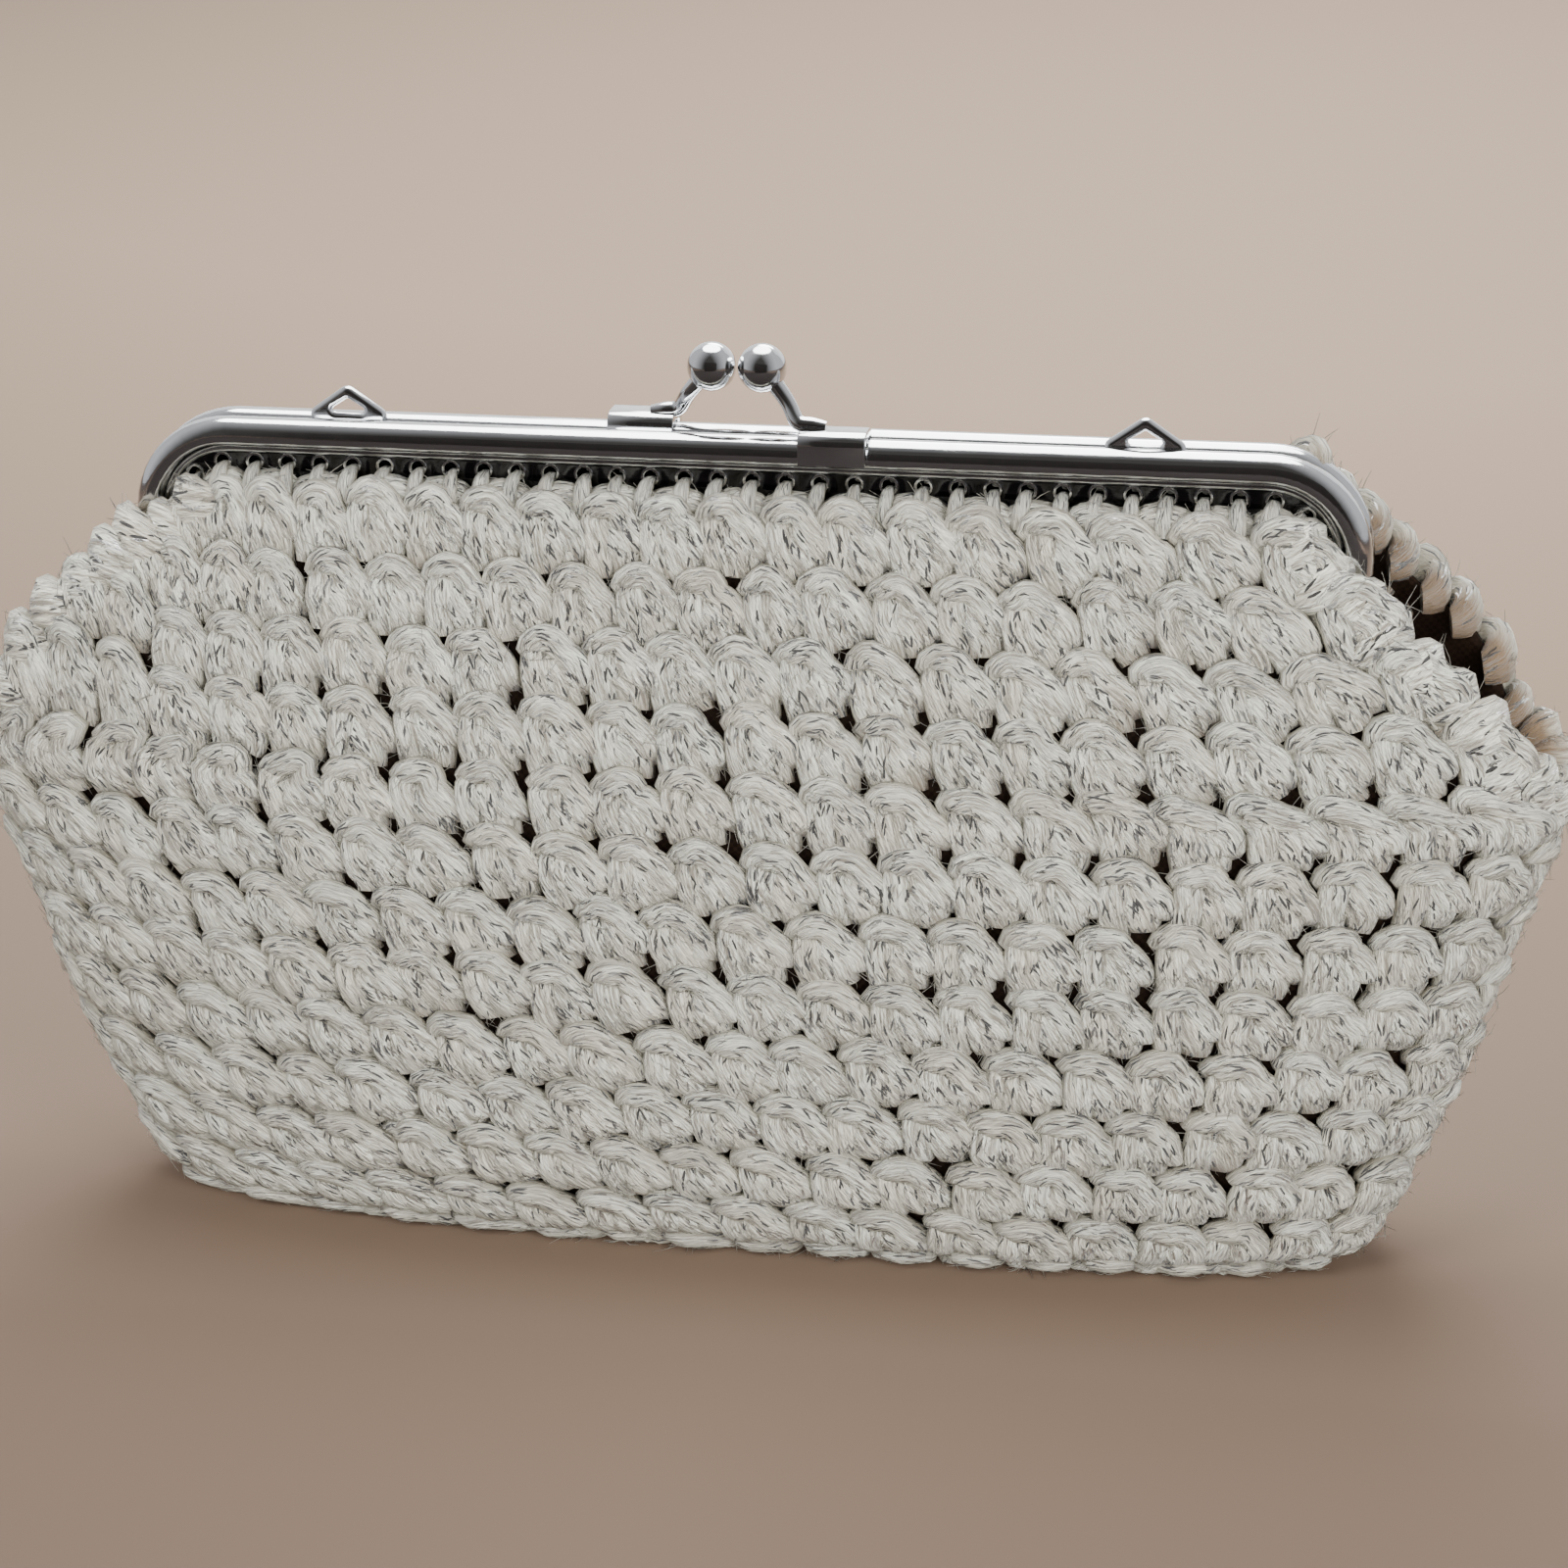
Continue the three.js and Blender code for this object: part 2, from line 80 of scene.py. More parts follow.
# Columns of the table: height, half width, half depth, squareness of the section.
POUCH_SECTIONS = np.array([
    [0.000, 0.0980, 0.0170, 3.0],
    [0.004, 0.1070, 0.0215, 2.9],
    [0.014, 0.1120, 0.0255, 2.8],
    [0.034, 0.1205, 0.0285, 2.7],
    [0.060, 0.1285, 0.0285, 2.7],
    [0.078, 0.1345, 0.0260, 2.8],
    [0.090, 0.1365, 0.0235, 3.0],
    [0.100, 0.1300, 0.0205, 3.6],
    [0.108, 0.1206, 0.0178, 4.2],
    [0.115, 0.1116, 0.0152, 5.0],
    [0.120, 0.1050, 0.0133, 6.0],
    [0.124, 0.0994, 0.0118, 7.0],
    [0.131, 0.0935, 0.0098, 9.0],
])
SLIT_BOTTOM = 0.088
SLIT_SOFTNESS = 0.006
SLIT_EDGE = 0.0125
SLIT_EDGE_SHARE = 0.72
STITCH_ROWS = 14
STITCH_WIDTH = 0.0117
TOP_STITCH_WIDTH = 0.0100
ROWS_TO_FULL_WIDTH = 4
ROW_SLANT = 0.16
COLUMN_LEAN = 0.2
FIRST_ROW_DROP = -0.0018
YARN_INSET = 0.0022
STITCH_UNEVENNESS = 0.032
LIFT_UNEVENNESS = 0.00025
GIRTH_UNEVENNESS = 0.04
HIGHEST_GUIDE = -0.002
WIDEST_GUIDE = 1.01
# Guide points of one stitch: share of its width to the right, share of its row down, lift in metres, girth.
HOOK_WIDTH = 0.0047
HOOK_THICKNESS = 0.0042
HOOK = np.array([
    [0.40, 0.56, -0.0030, 0.60],
    [0.24, 0.37, -0.0006, 0.86],
    [0.35, 0.26, 0.0003, 0.98],
    [0.52, 0.21, 0.0007, 1.06],
    [0.70, 0.25, 0.0005, 1.04],
    [0.82, 0.39, 0.0002, 1.02],
    [0.95, 0.54, 0.0000, 1.12],
    [1.06, 0.70, 0.0000, 1.22],
    [1.12, 0.88, -0.0005, 1.12],
    [1.13, 1.01, -0.0026, 0.72],
])
LEG_WIDTH = 0.0060
LEG_THICKNESS = 0.0040
UPRIGHT_LEG = np.array([
    [0.46, 0.30, -0.0012, 0.90],
    [0.44, 0.50, 0.0002, 0.98],
    [0.45, 0.76, 0.0004, 0.96],
    [0.49, 1.00, -0.0002, 0.90],
    [0.53, 1.25, -0.0016, 0.84],
])
INNER_LEG = np.array([
    [0.62, 0.36, -0.0012, 0.85],
    [0.72, 0.56, 0.0000, 1.02],
    [0.83, 0.78, 0.0002, 1.06],
    [0.90, 1.00, -0.0005, 1.02],
    [0.93, 1.22, -0.0020, 0.90],
])
# How far a strand's section fills out from an oval, where 1 is an oval and 0 a box.
YARN_FULLNESS = 0.78


def pouch_value(height, column):
    """Smooth curve through one column of the section table."""
    knots = POUCH_SECTIONS[:, 0]
    values = POUCH_SECTIONS[:, column]
    last = len(knots) - 1
    before = np.maximum(np.arange(last + 1) - 1, 0)
    after = np.minimum(np.arange(last + 1) + 1, last)
    slopes = (values[after] - values[before]) / (knots[after] - knots[before])
    i = np.clip(np.searchsorted(knots, height, side="right") - 1, 0, last - 1)
    span = knots[i + 1] - knots[i]
    t = (height - knots[i]) / span
    start = (2 * t**3 - 3 * t**2 + 1) * values[i] + (t**3 - 2 * t**2 + t) * span * slopes[i]
    end = (3 * t**2 - 2 * t**3) * values[i + 1] + (t**3 - t**2) * span * slopes[i + 1]
    return start + end


# The front half of the pouch as a grid: across each round from side to side, and down the front,
# then on under the base, nearly to its middle line.
GRID_ACROSS = 241
GRID_DOWN = 200
GRID_UNDER = 30
UNDER_SHARE = 0.97
ROUND_STEPS = 3000
heights = np.linspace(POUCH_SECTIONS[-1, 0], 0.0, GRID_DOWN)
half_widths, half_depths, squareness = (pouch_value(heights, column) for column in (1, 2, 3))
under = np.linspace(0.0, UNDER_SHARE, GRID_UNDER)[1:]
half_widths = np.append(half_widths, half_widths[-1] - under * half_depths[-1])
half_depths = np.append(half_depths, half_depths[-1] * (1 - under))
heights = np.append(heights, np.zeros_like(under))
squareness = np.append(squareness, np.full_like(under, squareness[-1]))
steps_down = np.hypot(np.diff(half_depths), np.diff(heights))
distance_down = np.append(0.0, np.cumsum(steps_down))
slit_share = np.clip((heights - SLIT_BOTTOM) / SLIT_SOFTNESS + 0.5, 0, 1)
slit_edges = np.minimum(SLIT_EDGE, SLIT_EDGE_SHARE * half_depths) * slit_share
round_lengths = np.zeros_like(heights)
pouch_grid = np.zeros((len(heights), GRID_ACROSS, 3))
angles = np.linspace(np.pi, 2 * np.pi, ROUND_STEPS)
for level, height in enumerate(heights):
    power = 2 / squareness[level]
    x = half_widths[level] * np.sign(np.cos(angles)) * np.abs(np.cos(angles)) ** power
    y = -half_depths[level] * np.abs(np.sin(angles)) ** power
    kept = y <= -slit_edges[level]
    x, y = x[kept], y[kept]
    along = np.append(0.0, np.cumsum(np.hypot(np.diff(x), np.diff(y))))
    even = np.linspace(0, along[-1], GRID_ACROSS)
    pouch_grid[level, :, 0] = np.interp(even, along, x)
    pouch_grid[level, :, 1] = np.interp(even, along, y)
    pouch_grid[level, :, 2] = height
    round_lengths[level] = along[-1]
pouch_normals = np.cross(np.gradient(pouch_grid, axis=0), np.gradient(pouch_grid, axis=1))
pouch_normals /= np.linalg.norm(pouch_normals, axis=2, keepdims=True)


def on_pouch(across, down, lift):
    """Points and normals on the front half: across from -1 to 1, down in metres from the top edge."""
    column = (across + 1) / 2 * (GRID_ACROSS - 1)
    row = np.interp(down, distance_down, np.arange(len(distance_down)))
    row = np.where(down < 0, down / distance_down[1], row)
    c = np.clip(np.floor(column).astype(int), 0, GRID_ACROSS - 2)
    r = np.clip(np.floor(row).astype(int), 0, len(distance_down) - 2)
    fc = (column - c)[..., None]
    fr = (row - r)[..., None]

    def blend(grid):
        upper = grid[r, c] * (1 - fc) + grid[r, c + 1] * fc
        lower = grid[r + 1, c] * (1 - fc) + grid[r + 1, c + 1] * fc
        return upper * (1 - fr) + lower * fr

    normals = blend(pouch_normals)
    normals /= np.linalg.norm(normals, axis=-1, keepdims=True)
    return blend(pouch_grid) + normals * (lift - YARN_INSET)[..., None], normals


def new_guides():
    return {"position": [], "outward": [], "strand": [], "order": [], "girth": [], "shift": [], "lift": []}


def add_strands(guides, positions, outward, girth, lift, rng):
    """Adds strands to the guides, one for each row of the positions."""
    strands, points = positions.shape[:2]
    first = guides["strand"][-1][-1] + 1 if guides["strand"] else 0
    shape = (strands, points)
    guides["position"].append(positions.reshape(-1, 3))
    guides["outward"].append(outward.reshape(-1, 3))
    guides["strand"].append(np.repeat(np.arange(first, first + strands), points))
    guides["order"].append(np.tile(np.arange(points), strands))
    guides["girth"].append(np.broadcast_to(girth, shape).ravel())
    guides["lift"].append(np.broadcast_to(lift, shape).ravel())
    guides["shift"].append(np.repeat(rng.uniform(0, 9, strands), points))


def stitch_rows(parts, thickness, seed):
    """Guides for parts of all the stitches of one half, row by row from the frame down to the base."""
    guides = new_guides()
    row_height = (distance_down[-1] - FIRST_ROW_DROP) / STITCH_ROWS
    slit_down = np.interp(-SLIT_BOTTOM, -heights, distance_down)
    for row in range(STITCH_ROWS):
        stitch_rng = np.random.default_rng([seed, row])
        widening = min(row / ROWS_TO_FULL_WIDTH, 1)
        width = TOP_STITCH_WIDTH + (STITCH_WIDTH - TOP_STITCH_WIDTH) * widening
        middle = FIRST_ROW_DROP + (row + 0.5) * row_height
        length = np.interp(middle, distance_down, round_lengths)
        count = round(length / width)
        lean = COLUMN_LEAN if middle < slit_down else 1.0
        slant = ROW_SLANT * (row - STITCH_ROWS / 2)
        moved = stitch_rng.normal(0, STITCH_UNEVENNESS, (count, 1, 2))
        raised = stitch_rng.normal(0, LIFT_UNEVENNESS, (count, 1))
        fuller = stitch_rng.normal(1, GIRTH_UNEVENNESS, (count, 1))
        for number, part in enumerate(parts):
            part_rng = np.random.default_rng([seed, row, number, len(parts)])
            shares = part[None, :, :2] + moved
            shares = shares + part_rng.normal(0, STITCH_UNEVENNESS / 2, (count, len(part), 2))
            across = -1 + 2 * (np.arange(count)[:, None] + shares[..., 0]) / count
            across = across + slant * 2 / count * (1 - np.clip(np.abs(across), 0, 1) ** 4)
            down = FIRST_ROW_DROP + (row + shares[..., 1]) * row_height
            down = np.clip(down, HIGHEST_GUIDE, distance_down[-1])
            upright = across * length / np.interp(down, distance_down, round_lengths)
            across = np.clip(upright + lean * (across - upright), -WIDEST_GUIDE, WIDEST_GUIDE)
            lift = part[None, :, 2] + raised
            girth = part[None, :, 3] * fuller
            points, normals = on_pouch(across, down, lift)
            points[..., 2] = np.maximum(points[..., 2], thickness / 2 * girth)
            add_strands(guides, points, normals, girth, lift, part_rng)
    return guides


# Guide points of one edge stitch, bound over the edge of a panel: distance in from the edge,
# share of its pitch down, lift in metres, girth, and how far the yarn has turned over the edge in degrees.
EDGE_WIDTH = 0.0092
EDGE_THICKNESS = 0.0046
EDGE_PITCH = 0.0072
EDGE_UNEVENNESS = 0.05
NEAR_EDGE = 0.97
EDGE_STITCH = np.array([
    [0.0125, 0.30, -0.0024, 0.60, 0],
    [0.0082, 0.20, 0.0000, 0.88, 0],
    [0.0038, 0.06, 0.0005, 1.02, 20],
    [0.0008, 0.00, -0.0010, 1.06, 65],
    [0.0006, 0.00, -0.0032, 0.98, 105],
    [0.0024, 0.00, -0.0052, 0.66, 150],
])


def edge_stitches(seed):
    """Guides for the stitches that bind the two open upper edges of one half."""
    rng = np.random.default_rng(seed)
    guides = new_guides()
    open_rows = heights > SLIT_BOTTOM - SLIT_SOFTNESS
    turned = np.radians(EDGE_STITCH[None, :, 4, None])
    for side, column in ((-1, 0), (1, -1)):
        edge = pouch_grid[open_rows, column]
        along = np.append(0.0, np.cumsum(np.linalg.norm(np.diff(edge, axis=0), axis=1)))
        places = np.arange(EDGE_PITCH / 2, along[-1], EDGE_PITCH)
        places = places + rng.normal(0, EDGE_PITCH * EDGE_UNEVENNESS, len(places))
        shifted = places[:, None] + EDGE_STITCH[None, :, 1] * EDGE_PITCH
        down = np.interp(shifted, along, distance_down[open_rows])
        inset = np.broadcast_to(EDGE_STITCH[None, :, 0], down.shape)
        across = side * (1 - inset * 2 / np.interp(down, distance_down, round_lengths))
        lift = EDGE_STITCH[None, :, 2] + rng.normal(0, LIFT_UNEVENNESS, (len(places), 1))
        girth = EDGE_STITCH[None, :, 3] * rng.normal(1, EDGE_UNEVENNESS, (len(places), 1))
        points, normals = on_pouch(across, down, lift)
        rim, _ = on_pouch(np.full_like(down, side), down, lift)
        inner, _ = on_pouch(np.full_like(down, side * NEAR_EDGE), down, lift)
        beyond = (rim - inner) / np.linalg.norm(rim - inner, axis=-1, keepdims=True)
        outward = normals * np.cos(turned) + beyond * np.sin(turned)
        add_strands(guides, points, outward, girth, lift, rng)
    return guides


# Guide points of one loop of the chain along the top edge: share of the stitch width to the right,
# distance down and lift in metres, girth.
CHAIN_WIDTH = 0.0046
CHAIN_THICKNESS = 0.0032
CHAIN_TILT = np.radians(60)
CHAIN_UNEVENNESS = 0.05
CHAIN_SEED = 77
CHAIN_LOOP = np.array([
    [-0.18, 0.0018, -0.0034, 0.70],
    [0.10, 0.0000, -0.0023, 0.96],
    [0.50, -0.0009, -0.0019, 1.06],
    [0.90, -0.0002, -0.0022, 1.00],
    [1.22, 0.0018, -0.0034, 0.72],
])


def top_chain(seed):
    """Guides for the chain of loops along the top edge of one half, behind its first row."""
    rng = np.random.default_rng([seed, CHAIN_SEED])
    guides = new_guides()
    count = round(round_lengths[0] / TOP_STITCH_WIDTH)
    shares = CHAIN_LOOP[None, :, 0] + rng.normal(0, STITCH_UNEVENNESS, (count, 1))
    across = np.clip(-1 + 2 * (np.arange(count)[:, None] + shares) / count, -1, 1)
    down = np.broadcast_to(CHAIN_LOOP[:, 1], across.shape)
    lift = CHAIN_LOOP[None, :, 2] + rng.normal(0, LIFT_UNEVENNESS, (count, 1))
    points, normals = on_pouch(across, down, lift)
    outward = normals * np.cos(CHAIN_TILT) + np.array([0, 0, np.sin(CHAIN_TILT)])
    girth = CHAIN_LOOP[None, :, 3] * rng.normal(1, CHAIN_UNEVENNESS, (count, 1))
    add_strands(guides, points, outward, girth, np.zeros_like(lift), rng)
    return guides


def add_node(tree, kind, inputs=None, **settings):
    """Adds a node, sets its properties, and fills its inputs with values or with links."""
    node = tree.nodes.new(kind)
    for name, value in settings.items():
        setattr(node, name, value)
    for name, value in (inputs or {}).items():
        if isinstance(value, bpy.types.NodeSocket):
            tree.links.new(value, node.inputs[name])
        else:
            node.inputs[name].default_value = value
    return node


def output_of(tree, kind, inputs=None, **settings):
    """Adds a node and gives its first output."""
    return add_node(tree, kind, inputs, **settings).outputs[0]


def new_group(name, kind, inputs, outputs):
    """New node group with these sockets, and the sockets of its input node."""
    tree = bpy.data.node_groups.new(name, kind)
    for in_out, sockets in (("INPUT", inputs), ("OUTPUT", outputs)):
        for socket, holds in sockets.items():
            tree.interface.new_socket(socket, in_out=in_out, socket_type=f"NodeSocket{holds}")
    return tree, add_node(tree, "NodeGroupInput").outputs


def yarn_sweep_tree():
    """Tree that joins guide points into strands and sweeps an oval yarn along each."""
    inputs = {
        "Guide Points": "Geometry",
        "Width": "Float",
        "Thickness": "Float",
        "Sides": "Int",
        "Steps": "Int",
        "Fullness": "Float",
        "Material": "Material",
    }
    tree, enter = new_group("yarn_sweep", "GeometryNodeTree", inputs, {"Yarn": "Geometry"})
    tree.is_modifier = True

    def field(name, kind="FLOAT"):
        node = add_node(tree, "GeometryNodeInputNamedAttribute", {"Name": name}, data_type=kind)
        return node.outputs["Attribute"]

    def store(geometry, name, value, kind):
        inputs = {"Geometry": geometry, "Name": name, "Value": value}
        return output_of(tree, "GeometryNodeStoreNamedAttribute", inputs, data_type=kind, domain="POINT")

    def vectors(operation, inputs):
        return output_of(tree, "ShaderNodeVectorMath", inputs, operation=operation)

    points = output_of(tree, "GeometryNodeMeshToPoints", {"Mesh": enter["Guide Points"]})
    grouping = {"Points": points, "Curve Group ID": field("strand", "INT"), "Weight": field("order")}
    strands = output_of(tree, "GeometryNodePointsToCurves", grouping)
    curves = output_of(tree, "GeometryNodeCurveSplineType", {"Curve": strands}, spline_type="CATMULL_ROM")
    finer = output_of(tree, "GeometryNodeSetSplineResolution", {0: curves, "Resolution": enter["Steps"]})
    facing = output_of(
        tree,
        "GeometryNodeSetCurveNormal",
        {"Curve": finer, "Normal": field("outward", "FLOAT_VECTOR")},
        mode="FREE",
    )
    length = add_node(tree, "GeometryNodeSplineParameter").outputs["Length"]
    place = output_of(tree, "ShaderNodeMath", {0: length, 1: field("shift")}, operation="ADD")
    marked = store(facing, "along", place, "FLOAT")
    round_section = {"Resolution": enter["Sides"], "Radius": 1.0}
    circle = output_of(tree, "GeometryNodeCurvePrimitiveCircle", round_section)
    position = output_of(tree, "GeometryNodeInputPosition")
    rim = store(circle, "around", position, "FLOAT_VECTOR")
    power = {0: enter["Fullness"], 1: enter["Fullness"], 2: 1.0}
    powers = output_of(tree, "ShaderNodeCombineXYZ", power)
    swollen = vectors("POWER", {0: vectors("ABSOLUTE", {0: position}), 1: powers})
    outline = vectors("MULTIPLY", {0: swollen, 1: vectors("SIGN", {0: position})})
    filled = output_of(tree, "GeometryNodeSetPosition", {"Geometry": rim, "Position": outline})
    size = output_of(tree, "ShaderNodeCombineXYZ", {0: enter["Thickness"], 1: enter["Width"], 2: 1.0})
    half = vectors("SCALE", {0: size, "Scale": 0.5})
    oval = output_of(tree, "GeometryNodeTransform", {"Geometry": filled, "Scale": half})
    swept = output_of(
        tree,
        "GeometryNodeCurveToMesh",
        {"Curve": marked, "Profile Curve": oval, "Scale": field("girth"), "Fill Caps": True},
    )
    soft = output_of(tree, "GeometryNodeSetShadeSmooth", {0: swept})
    real = output_of(tree, "GeometryNodeRealizeInstances", {0: soft})
    painted = output_of(tree, "GeometryNodeSetMaterial", {0: real, "Material": enter["Material"]})
    add_node(tree, "NodeGroupOutput", {"Yarn": painted})
    return tree


YARN_SWEEP = yarn_sweep_tree()


def run_tree(piece, tree, values):
    """Runs a tree on a piece with its named inputs set, and leaves the result as a plain mesh."""
    modifier = piece.modifiers.new(tree.name, "NODES")
    modifier.node_group = tree
    for item in tree.interface.items_tree:
        if item.in_out == "INPUT" and item.name in values:
            modifier[item.identifier] = values[item.name]
    bpy.context.view_layer.update()
    made = bpy.data.meshes.new_from_object(piece.evaluated_get(bpy.context.evaluated_depsgraph_get()))
    piece.modifiers.remove(modifier)
    piece.data = made
    return piece


def sweep_yarn(name, guides, width, thickness, sides, steps, material, fullness=1.0):
    """Makes a piece of yarn or round wire from its guides, pressed flat where it meets the floor."""
    data = {key: np.concatenate(parts) for key, parts in guides.items()}
    points = bpy.data.meshes.new(name)
    points.vertices.add(len(data["position"]))
    points.vertices.foreach_set("co", data["position"].astype(np.float32).ravel())
    strand = points.attributes.new("strand", "INT", "POINT")
    strand.data.foreach_set("value", data["strand"].astype(np.int32))
    outward = points.attributes.new("outward", "FLOAT_VECTOR", "POINT")
    outward.data.foreach_set("vector", data["outward"].astype(np.float32).ravel())
    for key in ("order", "girth", "shift", "lift"):
        values = points.attributes.new(key, "FLOAT", "POINT")
        values.data.foreach_set("value", data[key].astype(np.float32))
    piece = new_object(name, points)
    values = {"Width": width, "Thickness": thickness, "Sides": sides, "Steps": steps}
    run_tree(piece, YARN_SWEEP, {**values, "Fullness": fullness, "Material": material})
    places = np.empty(len(piece.data.vertices) * 3, np.float32)
    piece.data.vertices.foreach_get("co", places)
    places[2::3] = np.maximum(places[2::3], 0)
    piece.data.vertices.foreach_set("co", places)
    return piece


# Colours of the yarn: its own cream tones, and painted shade for the gaps between its fibres and for the
# hollows and creases between the stitches.
YARN_LIGHT = (0.93, 0.95, 0.80, 1)
YARN_WARM = (0.87, 0.83, 0.67, 1)
YARN_SHADE = (0.24, 0.212, 0.164, 1)
YARN_HOLLOW_PAINTED_SHADE = (0.20, 0.13, 0.07, 1)
YARN_CREASE_PAINTED_SHADE = (0.32, 0.28, 0.196, 1)
# The black fleck colour is painted reflection: short dashes that stand for the metallic thread mirroring
# dark surroundings.
FLECK_DARK_REFLECTION = (0.022, 0.020, 0.018, 1)
FLECK_BRIGHT = (0.97, 0.96, 0.93, 1)
FIBRES_AROUND = 10.0
FIBRES_PER_METRE = 180.0
BUNDLES_AROUND = 2.6
BUNDLES_PER_METRE = 60.0
PATCHES_AROUND = 0.4
PATCHES_PER_METRE = 22.0
FIBRE_TWISTS = (60.0, 180.0, -80.0)
FIBRE_ROUGHNESS = 0.6
STRAY_SHARE = 0.5
BUNDLE_SHARE = 0.35
FLECKS_AROUND = 5.8
FLECKS_PER_METRE = 360.0
FLECK_SIZE = 0.44
FLECK_DARK_SHARE = 0.11
FLECK_BRIGHT_SHARE = 0.06
# Where each effect starts and where it is full: fibres and patches by their noise, the painted shade in
# hollows by the lift of the guides, the painted shade in creases by how far the side of a strand turns
# inwards.
FIBRE_RANGE = (0.77, 1.09)
WARM_RANGE = (0.35, 0.70)
OPEN_RANGE = (-0.0034, -0.0004)
CREASE_RANGE = (0.55, -0.15)
CREASE_SHADE_STRENGTH = 0.8
YARN_ROUGHNESS = 0.85
FLECK_ROUGHNESS = 0.30
YARN_SHEEN = 0.3
YARN_SHEEN_ROUGHNESS = 0.5
FIBRE_RELIEF = 0.0014


def new_material(name):
    """New material, its node tree and its surface shader."""
    material = bpy.data.materials.new(name)
    material.use_nodes = True
    return material, material.node_tree, material.node_tree.nodes["Principled BSDF"]


def noise(tree, place, scale, detail, roughness=0.5):
    inputs = {"Vector": place, "Scale": scale, "Detail": detail, "Roughness": roughness}
    return add_node(tree, "ShaderNodeTexNoise", inputs).outputs["Fac"]


def remap(tree, value, start, end, low=0.0, high=1.0):
    """A value's run from start to end as a run from low to high, held at both ends."""
    ends = {"From Min": start, "From Max": end, "To Min": low, "To Max": high}
    return output_of(tree, "ShaderNodeMapRange", {"Value": value, **ends})


def mix_colours(tree, factor, first, second):
    inputs = {"Factor": factor, 6: first, 7: second}
    return add_node(tree, "ShaderNodeMix", inputs, data_type="RGBA").outputs[2]


def add_relief(tree, surface, height, strength, distance):
    inputs = {"Height": height, "Strength": strength, "Distance": distance}
    tree.links.new(output_of(tree, "ShaderNodeBump", inputs), surface.inputs["Normal"])


